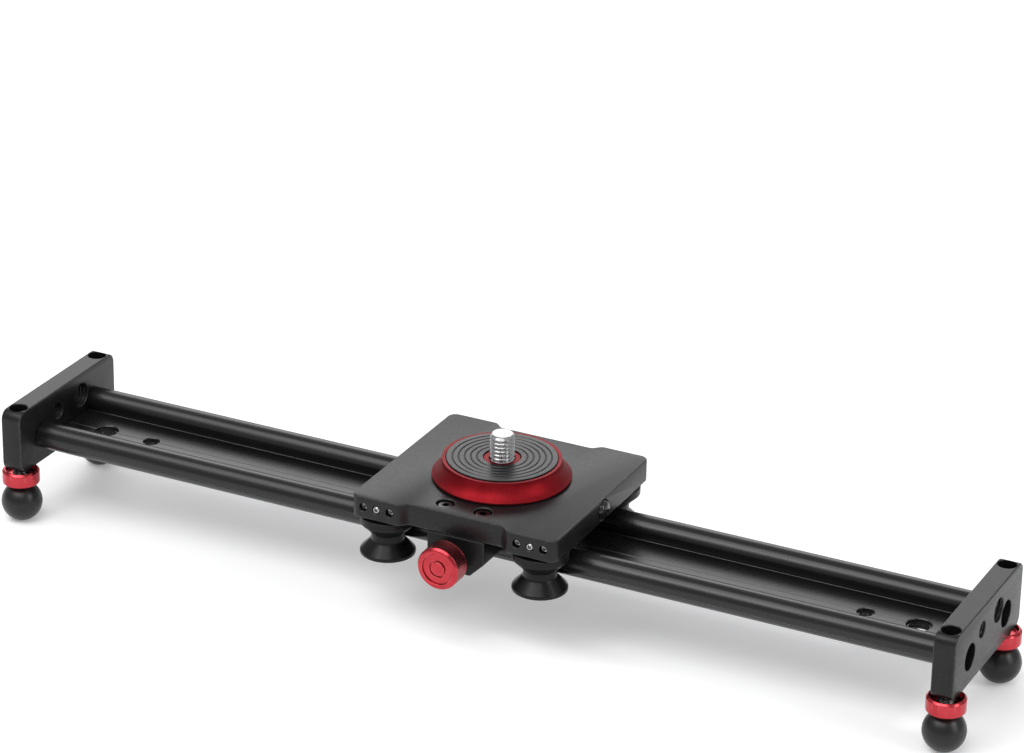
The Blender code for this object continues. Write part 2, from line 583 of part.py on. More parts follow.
def build_brake():
    axis_point = (BRAKE_AXIS_X, 0.0, BRAKE_AXIS_Z)
    wide = BRAKE_HALF_WIDTH
    top = PLATE_BOTTOM - GAP
    outline = [(wide, top), (-wide, top), (-wide, BRAKE_BOTTOM + BRAKE_CORNER),
               (BRAKE_CORNER - wide, BRAKE_BOTTOM), (wide - BRAKE_CORNER, BRAKE_BOTTOM),
               (wide, BRAKE_BOTTOM + BRAKE_CORNER)]
    bm = bmesh.new()
    prism(bm, outline, BRAKE_FRONT, BRAKE_BACK, lambda x, z, y: (x + CARRIAGE_X, y, z))
    block = add_object("brake_block", bm, BLACK_ANODISED, (CARRIAGE_X, BRAKE_FRONT, ROD_Z))
    break_edges(block, BRAKE_EDGE)
    cutters = bmesh.new()
    bore = [(0.0, BRAKE_FRONT - MM), (BRAKE_SCREW_RADIUS + GAP, BRAKE_FRONT - MM),
            (BRAKE_SCREW_RADIUS + GAP, SHOE_FRONT - GAP), (SHOE_RADIUS + GAP, SHOE_FRONT - GAP),
            (SHOE_RADIUS + GAP, BRAKE_BACK + MM), (0.0, BRAKE_BACK + MM)]
    revolve(cutters, bore, ROUND_STEPS, axis_point, "Y")
    for sign in (-1, 1):
        cylinder(cutters, CLAMP_THREAD_RADIUS, PLATE_BOTTOM - CLAMP_THREAD_DEPTH,
                 PLATE_BOTTOM + MM, FINE_STEPS,
                 (CARRIAGE_X + sign * CLAMP_SCREW_X, CLAMP_SCREW_Y, 0.0))
    carve(block, cutters)

    edge = SHOE_EDGE
    shoe = [(0.0, SHOE_FRONT), (SHOE_RADIUS, SHOE_FRONT), (SHOE_RADIUS, SHOE_TIP - edge),
            (SHOE_RADIUS - edge, SHOE_TIP), (0.0, SHOE_TIP)]
    bm = bmesh.new()
    revolve(bm, shoe, ROUND_STEPS, axis_point, "Y")
    add_object("brake_shoe", bm, BLACK_PLASTIC, (BRAKE_AXIS_X, SHOE_FRONT, BRAKE_AXIS_Z))

    tail = KNOB_BACK - BRAKE_SCREW_IN_KNOB
    shoulder = KNOB_BACK + BRAKE_COLLAR_LENGTH
    screw = [(0.0, tail), (BRAKE_SCREW_RADIUS, tail), (BRAKE_SCREW_RADIUS, KNOB_BACK + GAP),
             (BRAKE_COLLAR_RADIUS, KNOB_BACK + GAP), (BRAKE_COLLAR_RADIUS, shoulder),
             (BRAKE_SCREW_RADIUS, shoulder), (BRAKE_SCREW_RADIUS, SHOE_FRONT - GAP),
             (0.0, SHOE_FRONT - GAP)]
    bm = bmesh.new()
    revolve(bm, screw, HOLE_STEPS, axis_point, "Y")
    add_object("brake_screw", bm, BLACK_STEEL, (BRAKE_AXIS_X, KNOB_BACK, BRAKE_AXIS_Z))

    rim = KNOB_RIM_BEVEL
    bore = BRAKE_SCREW_RADIUS + GAP
    boss = KNOB_FRONT + KNOB_BOSS_DEPTH
    groove = KNOB_FRONT + KNOB_GROOVE_DEPTH
    dish = KNOB_FRONT + KNOB_DISH_DEPTH
    knob = [(0.0, boss), (KNOB_BOSS_RADIUS, boss), (KNOB_BOSS_RADIUS, groove),
            (KNOB_GROOVE_RADIUS, groove), (KNOB_GROOVE_RADIUS, dish),
            (KNOB_DISH_FLOOR_RADIUS, dish), (KNOB_DISH_RADIUS, KNOB_FRONT),
            (KNOB_RADIUS - rim, KNOB_FRONT), (KNOB_RADIUS, KNOB_FRONT + rim),
            (KNOB_RADIUS, KNOB_BACK - rim), (KNOB_RADIUS - rim, KNOB_BACK), (bore, KNOB_BACK),
            (bore, KNOB_BACK - KNOB_BORE_DEPTH), (0.0, KNOB_BACK - KNOB_BORE_DEPTH)]
    bm = bmesh.new()
    revolve(bm, knob, WIDE_STEPS, axis_point, "Y")
    add_object("brake_knob", bm, RED_ANODISED, (BRAKE_AXIS_X, KNOB_BACK, BRAKE_AXIS_Z))

    seat = PLATE_TOP - CLAMP_SINK_DEPTH + GAP
    face = seat + CLAMP_HEAD_LENGTH
    tip = PLATE_BOTTOM - CLAMP_SHANK_REACH
    clamp = [(0.0, tip), (CLAMP_SHANK_RADIUS, tip), (CLAMP_SHANK_RADIUS, seat),
             (CLAMP_HEAD_RADIUS, seat), (CLAMP_HEAD_RADIUS, face - edge),
             (CLAMP_HEAD_RADIUS - edge, face), (0.0, face)]
    for sign, place in ((-1, "left"), (1, "right")):
        x = CARRIAGE_X + sign * CLAMP_SCREW_X
        bm = bmesh.new()
        revolve(bm, clamp, HOLE_STEPS, (x, CLAMP_SCREW_Y, 0.0))
        item = add_object("clamp_screw_" + place, bm, BLACK_STEEL, (x, CLAMP_SCREW_Y, seat))
        cutters = bmesh.new()
        socket(cutters, CLAMP_SOCKET, (x, CLAMP_SCREW_Y, face), "Z")
        carve(item, cutters)


def build_head_mount():
    centre = (CARRIAGE_X, 0.0, 0.0)
    low = DISC_BOTTOM + DISC_SKIRT
    flank = []
    for step in range(5):
        part = step / 4.0
        slope = math.sin(part * math.pi / 2) ** DISC_FLANK_POWER
        radius = DISC_RADIUS + (DISC_TOP_RADIUS - DISC_RADIUS) * slope
        flank.append((radius, low + (DISC_TOP - low) * part))
    bore = MOUNT_STUD_RADIUS + GAP
    recess = PAD_TOP - PAD_THICKNESS - GAP
    disc = [(bore, DISC_BOTTOM), (DISC_RADIUS - GAP, DISC_BOTTOM), (DISC_RADIUS, DISC_BOTTOM + GAP)]
    disc += flank
    disc += [(PAD_RADIUS + GAP, DISC_TOP), (PAD_RADIUS + GAP, recess),
             (PAD_BORE_RADIUS - GAP, recess), (PAD_BORE_RADIUS - GAP, DISC_TOP), (bore, DISC_TOP)]
    bm = bmesh.new()
    revolve(bm, disc, WIDE_STEPS, centre)
    add_object("mount_disc", bm, RED_ANODISED, (CARRIAGE_X, 0.0, DISC_BOTTOM))

    bm = bmesh.new()
    revolve(bm, [(PAD_BORE_RADIUS, recess + GAP), (PAD_RADIUS, recess + GAP),
                 (PAD_RADIUS, PAD_TOP), (PAD_BORE_RADIUS, PAD_TOP)], WIDE_STEPS, centre)
    add_object("mount_pad", bm, BLACK_RUBBER, (CARRIAGE_X, 0.0, PAD_TOP))

    head_low = PLATE_BOTTOM + MOUNT_HEAD_SINK
    head_high = head_low + MOUNT_HEAD_LENGTH
    tip = MOUNT_TIP_BEVEL
    stud = [(0.0, head_low), (MOUNT_HEAD_RADIUS, head_low), (MOUNT_HEAD_RADIUS, head_high),
            (MOUNT_STUD_RADIUS, head_high), (MOUNT_STUD_RADIUS, MOUNT_STUD_TOP - tip),
            (MOUNT_STUD_RADIUS - tip, MOUNT_STUD_TOP), (0.0, MOUNT_STUD_TOP)]
    bm = bmesh.new()
    revolve(bm, stud, ROUND_STEPS, centre)
    item = add_object("mount_stud", bm, BRIGHT_STEEL, (CARRIAGE_X, 0.0, PLATE_BOTTOM))
    cutters = bmesh.new()
    socket(cutters, MOUNT_SOCKET, (CARRIAGE_X, 0.0, head_low), "-Z")
    carve(item, cutters)


def build_bumper(name, sign):
    axis = "X" if sign > 0 else "-X"
    face = CARRIAGE_X + sign * PLATE_HALF_LENGTH
    dome = [(0.0, -BUMPER_SEAT), (BUMPER_RADIUS, -BUMPER_SEAT)]
    for step in range(4):
        angle = math.pi / 2 * step / 3
        radius = BUMPER_RADIUS - BUMPER_EDGE * (1.0 - math.cos(angle))
        dome.append((radius, BUMPER_REACH - BUMPER_EDGE * (1.0 - math.sin(angle))))
    dome.append((0.0, BUMPER_REACH))
    bm = bmesh.new()
    revolve(bm, dome, HOLE_STEPS, (face, 0.0, SCREW_ROW_Z), axis)
    add_object(name, bm, BLACK_RUBBER, (face, 0.0, SCREW_ROW_Z))


def main():
    clear_scene()
    build_rail()
    build_carriage_plate()
    build_set_screws()
    build_brake()
    build_head_mount()
    for end, column in ((-1, "left"), (1, "right")):
        build_end_block("end_block_" + column, end)
        build_bumper("bumper_" + column, end)
        for side, row in ((-1, "front"), (1, "back")):
            tag = f"{row}_{column}"
            build_rail_bolt("rail_bolt_" + tag, end, side)
            build_foot(tag, end, side)
            build_roller(tag, end, side)


main()
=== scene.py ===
import math

import bmesh
import bpy
from mathutils import Matrix, Vector


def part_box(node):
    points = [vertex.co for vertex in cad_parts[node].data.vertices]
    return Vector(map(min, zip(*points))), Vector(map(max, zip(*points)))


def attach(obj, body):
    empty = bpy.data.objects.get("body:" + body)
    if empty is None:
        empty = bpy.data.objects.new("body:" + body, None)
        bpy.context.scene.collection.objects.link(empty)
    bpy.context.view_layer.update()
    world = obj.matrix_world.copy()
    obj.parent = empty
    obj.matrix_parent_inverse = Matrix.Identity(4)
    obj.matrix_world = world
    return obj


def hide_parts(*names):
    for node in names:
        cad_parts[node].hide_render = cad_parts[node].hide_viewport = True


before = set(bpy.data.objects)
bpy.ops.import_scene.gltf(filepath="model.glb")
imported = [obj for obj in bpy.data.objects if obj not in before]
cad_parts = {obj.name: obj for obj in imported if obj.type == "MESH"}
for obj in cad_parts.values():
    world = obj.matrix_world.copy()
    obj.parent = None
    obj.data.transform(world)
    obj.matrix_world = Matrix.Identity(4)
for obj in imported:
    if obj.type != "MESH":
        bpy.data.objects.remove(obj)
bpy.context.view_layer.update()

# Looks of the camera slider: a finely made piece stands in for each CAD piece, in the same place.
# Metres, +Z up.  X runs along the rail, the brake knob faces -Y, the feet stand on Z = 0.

MM = 0.001

# Facets around a full turn.
FINE = 128
ROUND = 72
SMALL = 40
HEXAGON = 6

# Steps across a fillet, and the most it may take of the edges beside it.
FILLET_STEPS = 4
FILLET_SHARE = 0.45

# Corners sharper than this many degrees stay sharp when shaded, or are rounded off.
SMOOTH_ANGLE = 32.0
BEVEL_ANGLE = 40.0
BEVEL_SEGMENTS = 3

# Wear and a painted edge highlight show on strips narrower than this that bend by more than
# this many degrees at an edge of at least this share of their length.
EDGE_STRIP_WIDTH = 0.45 * MM
EDGE_STRIP_BEND = 12.0
EDGE_STRIP_SHARE = 0.6

# Rail section.
ROD_RADIUS = 5.4 * MM
ROD_Y = 18.8 * MM
ROD_Z = 33.7 * MM
ROD_TOP_ANGLE = -25.0
SEAM_ANGLE = 195.0
SEAM_HALF_ANGLE = 2.2
SEAM_DEPTH = 0.35 * MM
WEB_TOP = 31.3 * MM
WEB_SIDE_Y = 16.2 * MM
WEB_EDGE = 0.5 * MM
WEB_FILLET = 0.12 * MM
WEB_LINE_HALF_WIDTH = 0.3 * MM
WEB_LINE_DEPTH = 0.25 * MM
RAIL_BORE_RADIUS = 2.7 * MM
RAIL_BORE_DEPTH = 18.0 * MM
LEDGE_WIDTH = 0.8 * MM
LEDGE_DEPTH = 1.0 * MM

# Holes for tripod screws: (place, radius, thread pitch).  The place is the distance from the
# middle along X in the web, and Y in an end block.
WEB_HOLES = ((173.5 * MM, 4.7 * MM, 1.5875 * MM), (152.6 * MM, 3.2 * MM, 1.27 * MM))
SIDE_HOLE_Z = 39.2 * MM
SIDE_HOLES = ((-7.0 * MM, 3.2 * MM, 1.27 * MM), (9.9 * MM, 4.7 * MM, 1.5875 * MM))
HOLE_CHAMFER = 0.3 * MM

# Threads: the depth is a share of the pitch, or of the wall of a lining, and the ends fade out
# over a share of the pitch.  The flank's slope and drop leave a flat crest and root.  A thread
# starts a gap above its shoulder.  A lining's crest stands in from its hole, with a gap behind it.
THREAD_SHARE = 0.54
THREAD_FADE = 0.6
CREST_SLOPE = 1.3
CREST_DROP = 0.12
THREAD_GAP = 0.02 * MM
ROWS_PER_TURN = 8
LINING_SHARE = 0.85
LINING_DEPTH = 0.5 * MM
LINING_GAP = 0.03 * MM
WEB_LINING_INSET = 0.1 * MM
SIDE_LINING_INSET = 0.5 * MM

# Screws: the root under a thread as a share of its radius, and how far from its ends, and how
# near the rim, a head is knurled.
ROOT_SHARE = 0.9
KNURL_START = 0.4 * MM
KNURL_STOP = 0.5 * MM
KNURL_RIM = 0.97

# Hexagon sockets: (width across the flats, depth).  The cone at the floor is a share of the radius.
BOLT_SOCKET = (4.0 * MM, 1.4 * MM)
FOOT_SOCKET = (3.0 * MM, 2.0 * MM)
SET_SCREW_SOCKET = (1.5 * MM, 1.2 * MM)
CLAMP_SOCKET = (2.5 * MM, 1.5 * MM)
AXLE_SOCKET = (3.0 * MM, 1.6 * MM)
MOUNT_SOCKET = (6.0 * MM, 1.3 * MM)
SOCKET_CONE = 0.35

# End blocks.
BLOCK_CORNER = 4.0 * MM
EDGE_BREAK = 0.5 * MM
SINK_RADIUS = 5.2 * MM
SINK_DEPTH = 6.0 * MM
SINK_CHAMFER = 0.2 * MM
BOLT_HEAD_LENGTH = 2.6 * MM
BOLT_SHANK_RADIUS = 2.4 * MM
BOLT_TIP_RADIUS = 1.9 * MM
BOLT_TIP_LENGTH = 0.6 * MM
BOLT_FACETS = 96
BOLT_RIDGES = 48
BOLT_RIDGE_DEPTH = 0.08 * MM
TOP_HOLE_RADIUS = 3.6 * MM
FOOT_BORE_RADIUS = 3.3 * MM
FOOT_BORE_TOP = 42.4 * MM
BORE_OVERLAP = 0.5 * MM

# Feet.
BALL_FLAT_RADIUS = 2.0 * MM
PARTING_HEIGHT = 0.05 * MM
PARTING_WIDTH = 0.25 * MM
COLLAR_NOTCHES = 16
COLLAR_FACETS = 32 * COLLAR_NOTCHES
COLLAR_NOTCH_DEPTH = 0.1 * MM
NOTCH_SHARE = 0.03
COLLAR_DISH_RADIUS = 6.2 * MM
COLLAR_DISH_DEPTH = 2.0 * MM
FOOT_BORE_GAP = 0.2 * MM
METRIC_PITCH = 1.0 * MM

# Carriage plate.
PLATE_CORNER = 3.5 * MM
WAIST_DEPTH = 3.05 * MM
WAIST_HALF_LENGTH = 18.7 * MM
EAR_START = 23.5 * MM
CLAMP_SINK_RADIUS = 3.5 * MM
CLAMP_SINK_DEPTH = 3.6 * MM
CLAMP_BORE_RADIUS = 1.8 * MM
CLAMP_HEAD_LENGTH = 2.6 * MM
CLAMP_SHANK_RADIUS = 1.4 * MM
CLAMP_RIDGES = 36
CLAMP_RIDGE_DEPTH = 0.06 * MM
BUMPER_HOLE_RADIUS = 4.0 * MM
BUMPER_HOLE_DEPTH = 5.0 * MM
BUMPER_DOME = 2.4 * MM
BUMPER_POWER = 0.7
BUMPER_STEPS = 12
AXLE_BORE_RADIUS = 2.5 * MM
MOUNT_POCKET_RADIUS = 8.3 * MM
MOUNT_POCKET_DEPTH = 3.3 * MM
MOUNT_BORE_RADIUS = 5.06 * MM
SCREW_HOLE_RADIUS = 1.65 * MM
SCREW_HOLE_DEPTH = 6.0 * MM

# Rollers.  An axle narrows at its neck, this far below the middle of the rods.
NECK_RADIUS = 6.4 * MM
NECK_HALF = 1.5 * MM
ROLLER_BORE = 5.3 * MM
FACE_GROOVE_DEPTH = 0.25 * MM
AXLE_RADIUS = 2.2 * MM
AXLE_GAP = 0.3 * MM
AXLE_NECK_DROP = 4.8 * MM
SHIELD_DEPTH = 0.35 * MM
INNER_RACE = 0.9 * MM
OUTER_RACE = 0.7 * MM

# Brake.
BRAKE_CORNER = 5.8 * MM
BRAKE_EDGE_BREAK = 0.4 * MM
BRAKE_BORE_RADIUS = 3.3 * MM
BRAKE_CLAMP_BORE_RADIUS = 1.7 * MM
SHOE_BORE_RADIUS = 4.6 * MM
SHOE_GAP = 0.3 * MM
BRAKE_SCREW_RADIUS = 3.0 * MM
BRAKE_COLLAR_RADIUS = 4.6 * MM
BRAKE_COLLAR_LENGTH = 2.3 * MM
KNOB_RIDGES = 56
KNOB_RIDGE_DEPTH = 0.11 * MM
KNOB_FACETS = 4 * KNOB_RIDGES

# Head mount.
DISC_TOP_RADIUS = 22.8 * MM
DISC_SKIRT = 0.8 * MM
DISC_FLANK_STEPS = 14
DISC_FLANK_POWER = 0.8
PAD_BORE = 7.3 * MM
PAD_GAP = 0.3 * MM
PAD_RIBS = 5
PAD_RIB_HALF_WIDTH = 0.35 * MM
MOUNT_STUD_RADIUS = 4.76 * MM
MOUNT_HEAD_LENGTH = 2.8 * MM
MOUNT_PITCH = 1.5875 * MM

# Camera: where it aims, and its direction, roll and distance from there.
AIM = Vector((6.75, 0.0, 94.2)) * MM
AZIMUTH = math.radians(26.2)
ELEVATION = math.radians(24.38)
ROLL = math.radians(0.97)
DISTANCE = 1.44385
LENS = 135.58
SENSOR = 36.0

# Lamps: (name, place, target, width, height, radiance of the face).
LAMPS = (
    ("overhead", (-0.3, -0.85, 1.7), (0.0, 0.0, 0.0), 2.2, 1.0, 3.2),
    ("behind", (-0.8, 1.63, 0.95), (0.0, 0.0, 0.05), 2.0, 0.9, 2.2),
    ("right", (1.5, -0.2, 0.7), (0.1, 0.0, 0.03), 0.5, 1.0, 2.9),
    ("front_left", (-0.45, -0.95, 1.1), (0.0, 0.0, 0.03), 0.4, 0.4, 4.4),
    ("glint", (1.15, 0.03, 0.88), (0.05, 0.0, 0.03), 0.14, 0.14, 32.0),
)
SKY_COLOUR = (0.96, 0.97, 1.0, 1.0)
SKY_STRENGTH = 0.5
FLOOR_HALF_SIZE = 6.0
FLOOR_GLOW = 0.22

TURN_TO = {
    "Z": Matrix.Identity(4),
    "-Z": Matrix.Rotation(math.pi, 4, "X"),
    "X": Matrix.Rotation(math.pi / 2, 4, "Y"),
    "-X": Matrix.Rotation(-math.pi / 2, 4, "Y"),
    "-Y": Matrix.Rotation(math.pi / 2, 4, "X"),
    "Y": Matrix.Rotation(-math.pi / 2, 4, "X"),
}
ENDS = ((-1, "left"), (1, "right"))
SIDES = ((-1, "front"), (1, "back"))


# -------- places

def centre_of(node):
    low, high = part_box(node)
    return (low + high) / 2


def reach_of(node, axis):
    """Lowest and highest coordinate of a CAD node along one axis."""
    low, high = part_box(node)
    return low[axis], high[axis]


def radius_of(node, axis=0):
    low, high = reach_of(node, axis)
    return (high - low) / 2


# -------- meshes

def fillet(corners, closed):
    """Round each (radius, height, fillet) corner of a profile and return its points."""
    points = []
    count = len(corners)
    for index, (radius, height, size) in enumerate(corners):
        at_end = not closed and index in (0, count - 1)
        if size <= 0.0 or at_end:
            points.append((radius, height))
            continue
        here = Vector((radius, height))
        before = Vector(corners[index - 1][:2]) - here
        after = Vector(corners[(index + 1) % count][:2]) - here
        start = here + before.normalized() * min(size, FILLET_SHARE * before.length)
        stop = here + after.normalized() * min(size, FILLET_SHARE * after.length)
        for step in range(FILLET_STEPS + 1):
            part = step / FILLET_STEPS
            point = start.lerp(here, part).lerp(here.lerp(stop, part), part)
            points.append((point.x, point.y))
    return points


def lathe(bm, corners, steps, centre, axis="Z", shape=None):
    """Spin a filleted profile; shape(radius, height, angle) may cut notches or ridges in it."""
    profile = fillet(corners, corners[0][0] > 0.0)
    placing = Matrix.Translation(Vector(centre)) @ TURN_TO[axis]
    rings = []
    for radius, height in profile:
        ring = []
        for step in range(steps if radius > 1e-9 else 1):
            angle = 2.0 * math.pi * step / steps
            width = shape(radius, height, angle) if shape else radius
            point = Vector((width * math.cos(angle), width * math.sin(angle), height))
            ring.append(bm.verts.new(placing @ point))
        rings.append(ring)
    skin(bm, rings, steps, profile[0][0] > 0.0)


def skin(bm, rings, steps, closed):
    """Join neighbouring rings with faces, and the last to the first if closed."""
    pairs = list(zip(rings, rings[1:]))
    if closed:
        pairs.append((rings[-1], rings[0]))
    for low, high in pairs:
        for step in range(steps):
            following = (step + 1) % steps
            corners = [low[step % len(low)], low[following % len(low)]]
            corners += [high[following % len(high)], high[step % len(high)]]
            face = list(dict.fromkeys(corners))
            if len(face) > 2:
                bm.faces.new(face)


def thread(bm, radius, pitch, low, high, centre, axis="Z", sleeve=0.0, steps=SMALL):
    """Helical thread from low to high: a solid rod, or a lining whose outer radius is `sleeve`."""
    depth = THREAD_SHARE * pitch
    if sleeve:
        depth = LINING_SHARE * (sleeve - radius)
    rows = max(2, int(math.ceil((high - low) / pitch * ROWS_PER_TURN)))
    placing = Matrix.Translation(Vector(centre)) @ TURN_TO[axis]
    rings = []
    for row in range(rows + 1):
        height = low + (high - low) * row / rows
        fade = min(1.0, min(height - low, high - height) / (THREAD_FADE * pitch))
        ring = []
        for step in range(steps):
            angle = 2.0 * math.pi * step / steps
            phase = (height / pitch - step / steps) % 1.0
            flank = CREST_SLOPE * (1.0 - abs(2.0 * phase - 1.0)) - CREST_DROP
            crest = min(1.0, max(0.0, flank))
            width = radius - depth * (1.0 - crest * fade)
            if sleeve:
                width = radius + depth * (1.0 - crest * fade)
            point = Vector((width * math.cos(angle), width * math.sin(angle), height))
            ring.append(bm.verts.new(placing @ point))
        rings.append(ring)
    ends = []
    for height in (high, low):
        count = steps if sleeve else 1
        ring = []
        for step in range(count):
            angle = 2.0 * math.pi * step / steps
            point = Vector((sleeve * math.cos(angle), sleeve * math.sin(angle), height))
            ring.append(bm.verts.new(placing @ point))
        ends.append(ring)
    if sleeve:
        skin(bm, rings + ends, steps, True)
    else:
        skin(bm, [ends[1]] + rings + [ends[0]], steps, False)


def arc(centre, radius, start, stop, count):
    """Points on an arc given in degrees, both ends included."""
    points = []
    for step in range(count + 1):
        angle = math.radians(start + (stop - start) * step / count)
        points.append((centre[0] + radius * math.cos(angle), centre[1] + radius * math.sin(angle)))
    return points


def prism(bm, outline, low, high, to_point):
    """Extrude a closed outline; to_point(u, v, w) places its two coordinates and the height."""
    ends = []
    for level in (low, high):
        ends.append([bm.verts.new(to_point(u, v, level)) for u, v in outline])
    bm.faces.new(ends[0])
    bm.faces.new(ends[1])
    for index in range(len(outline)):
        following = (index + 1) % len(outline)
        bm.faces.new((ends[0][index], ends[0][following], ends[1][following], ends[1][index]))


def hexagon(bm, socket, mouth, axis):
    """Hexagon socket cutter with a cone at its floor, as drilled and broached."""
    width, depth = socket
    radius = width / math.sqrt(3.0)
    corners = [(0.0, -depth - SOCKET_CONE * radius, 0.0), (radius, -depth, 0.0), (radius, MM, 0.0),
               (0.0, MM, 0.0)]
    lathe(bm, corners, HEXAGON, mouth, axis)


def knurl(radius, low, high, ridges, depth):
    """A shape for lathe that cuts ridges in the rim between two heights."""
    def shape(width, height, angle):
        ridged = width > KNURL_RIM * radius and low < height < high
        return width - depth * abs(math.sin(ridges * angle / 2)) if ridged else width
    return shape


def hole(radius, depth, chamfer=HOLE_CHAMFER):
    """Profile of a hole measured down from its chamfered mouth."""
    return [(0.0, -depth, 0.0), (radius, -depth, 0.0), (radius, -chamfer, 0.0),
            (radius + chamfer, 0.0, 0.0), (radius + chamfer, MM, 0.0), (0.0, MM, 0.0)]


def sunk_hole(sink, sink_depth, radius, depth, chamfer=HOLE_CHAMFER):
    """Profile of a counterbored hole measured down from its chamfered mouth."""
    return [(0.0, -depth, 0.0), (radius, -depth, 0.0), (radius, -sink_depth, 0.0),
            (sink, -sink_depth, 0.0), (sink, -chamfer, 0.0), (sink + chamfer, 0.0, 0.0),
            (sink + chamfer, MM, 0.0), (0.0, MM, 0.0)]


def mesh_from(bm, name):
    bmesh.ops.recalc_face_normals(bm, faces=bm.faces)
    mesh = bpy.data.meshes.new(name)
    bm.to_mesh(mesh)
    bm.free()
    return mesh


def raw_object(name, bm, origin):
    """An object made from world-space geometry, with its own origin."""
    bmesh.ops.translate(bm, verts=bm.verts, vec=-Vector(origin))
    item = bpy.data.objects.new(name, mesh_from(bm, name))
    item.location = origin
    bpy.context.scene.collection.objects.link(item)
    return item


def apply_modifiers(item):
    graph = bpy.context.evaluated_depsgraph_get()
    mesh = bpy.data.meshes.new_from_object(item.evaluated_get(graph))
    item.modifiers.clear()
    item.data = mesh


def round_edges(item, width):
    bevel = item.modifiers.new("edges", "BEVEL")
    bevel.width = width
    bevel.segments = BEVEL_SEGMENTS
    bevel.limit_method = "ANGLE"
    bevel.angle_limit = math.radians(BEVEL_ANGLE)
    apply_modifiers(item)


def carve(item, bm):
    """Subtract world-space cutters, held in one bmesh, from an object."""
    cutter = raw_object("cutter", bm, (0.0, 0.0, 0.0))
    cut = item.modifiers.new("cut", "BOOLEAN")
    cut.operation = "DIFFERENCE"
    cut.solver = "EXACT"
    cut.object = cutter
    apply_modifiers(item)
    bpy.data.objects.remove(cutter, do_unlink=True)


def mark_edges(mesh):
    """Store on each face whether it is a narrow strip of a chamfer or fillet, where wear and a
    painted highlight show.
    """
    bm = bmesh.new()
    bm.from_mesh(mesh)
    layer = bm.faces.layers.float.new("edge_wear")
    for face in bm.faces:
        longest = max(edge.calc_length() for edge in face.edges)
        narrow = face.calc_area() < longest * EDGE_STRIP_WIDTH
        bend = 0.0
        for edge in face.edges:
            if edge.calc_length() > EDGE_STRIP_SHARE * longest:
                bend = max(bend, edge.calc_face_angle(0.0))
        face[layer] = 1.0 if narrow and bend > math.radians(EDGE_STRIP_BEND) else 0.0
    bm.to_mesh(mesh)
    bm.free()


def finish_piece(item, finish, body, nodes=()):
    """Shade a piece, give it its finish, and tie it to the frame."""
    slot_name, material = finish
    for polygon in item.data.polygons:
        polygon.use_smooth = True
    item.data.set_sharp_from_angle(angle=math.radians(SMOOTH_ANGLE))
    mark_edges(item.data)
    item.data.materials.clear()
    item.data.materials.append(material)
    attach(item, body)
    if nodes:
        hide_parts(*nodes)


def turned_piece(node, corners, steps, finish, body, origin, axis="Z", shape=None):
    """A lathe-turned stand-in for one CAD node, its heights measured from `origin`."""
    bm = bmesh.new()
    lathe(bm, corners, steps, origin, axis, shape)
    item = raw_object(node + "_detail", bm, origin)
    finish_piece(item, finish, body, [node])


# -------- finishes

class Graph:
    """One material and a short way to add nodes to it."""

    def __init__(self, name):
        self.material = bpy.data.materials.new(name)
        self.material.use_nodes = True
        self.tree = self.material.node_tree
        self.shader = self.tree.nodes["Principled BSDF"]

    def feed(self, socket, value):
        if isinstance(value, bpy.types.NodeSocket):
            self.tree.links.new(value, socket)
        else:
            socket.default_value = value

    def node(self, kind, **inputs):
        made = self.tree.nodes.new(kind)
        for key, value in inputs.items():
            self.feed(made.inputs[key.replace("_", " ")], value)
        return made

    def sums(self, operation, first, second=0.0):
        made = self.tree.nodes.new("ShaderNodeMath")
        made.operation = operation
        self.feed(made.inputs[0], first)
        self.feed(made.inputs[1], second)
        return made.outputs[0]

    def place(self, stretch=(1.0, 1.0, 1.0)):
        coordinates = self.tree.nodes.new("ShaderNodeTexCoord").outputs["Object"]
        if stretch == (1.0, 1.0, 1.0):
            return coordinates
        return self.node("ShaderNodeMapping", Vector=coordinates, Scale=stretch).outputs[0]

    def turned_place(self, axis):
        """(distance from the axis, 0, height): noise read there runs in rings, as tool marks do."""
        split = self.node("ShaderNodeSeparateXYZ", Vector=self.place()).outputs
        across = {"Z": (0, 1, 2), "Y": (0, 2, 1), "X": (1, 2, 0)}[axis]
        first = self.sums("MULTIPLY", split[across[0]], split[across[0]])
        second = self.sums("MULTIPLY", split[across[1]], split[across[1]])
        radius = self.sums("SQRT", self.sums("ADD", first, second))
        return self.node("ShaderNodeCombineXYZ", X=radius, Z=split[across[2]]).outputs[0]

    def noise(self, vector, scale, detail=2.0):
        return self.node("ShaderNodeTexNoise", Vector=vector, Scale=scale, Detail=detail).outputs[0]

    def spread(self, value, low, high, start=0.35, stop=0.65):
        """Map a noise value to the range low..high."""
        made = self.node("ShaderNodeMapRange", Value=value)
        for name, number in (("From Min", start), ("From Max", stop), ("To Min", low),
                             ("To Max", high)):
            made.inputs[name].default_value = number
        return made.outputs[0]

    def mix(self, factor, first, second):
        made = self.tree.nodes.new("ShaderNodeMix")
        made.data_type = "RGBA"
        self.feed(made.inputs[0], factor)
        self.feed(made.inputs[6], first)
        self.feed(made.inputs[7], second)
        return made.outputs[2]

    def wear(self, amount):
        """Patchy strength of the wear and painted highlight on chamfers and fillets."""
        strip = self.tree.nodes.new("ShaderNodeAttribute")
        strip.attribute_name = "edge_wear"
        patches = self.spread(self.noise(self.place(), 900.0, 4.0), 0.3, 1.0)
        return self.sums("MULTIPLY", self.sums("MULTIPLY", strip.outputs["Fac"], patches), amount)

    def bump(self, height, strength, distance):
        made = self.node("ShaderNodeBump", Height=height, Strength=strength, Distance=distance)
        self.feed(self.shader.inputs["Normal"], made.outputs[0])

    def surface(self, colour, roughness, metallic, ior=1.5):
        self.feed(self.shader.inputs["Base Color"], colour)
        self.feed(self.shader.inputs["Roughness"], roughness)
        self.shader.inputs["Metallic"].default_value = metallic
        self.shader.inputs["IOR"].default_value = ior


def grey(value, tint=0.0):
    return (value, value, value * (1.0 + tint), 1.0)


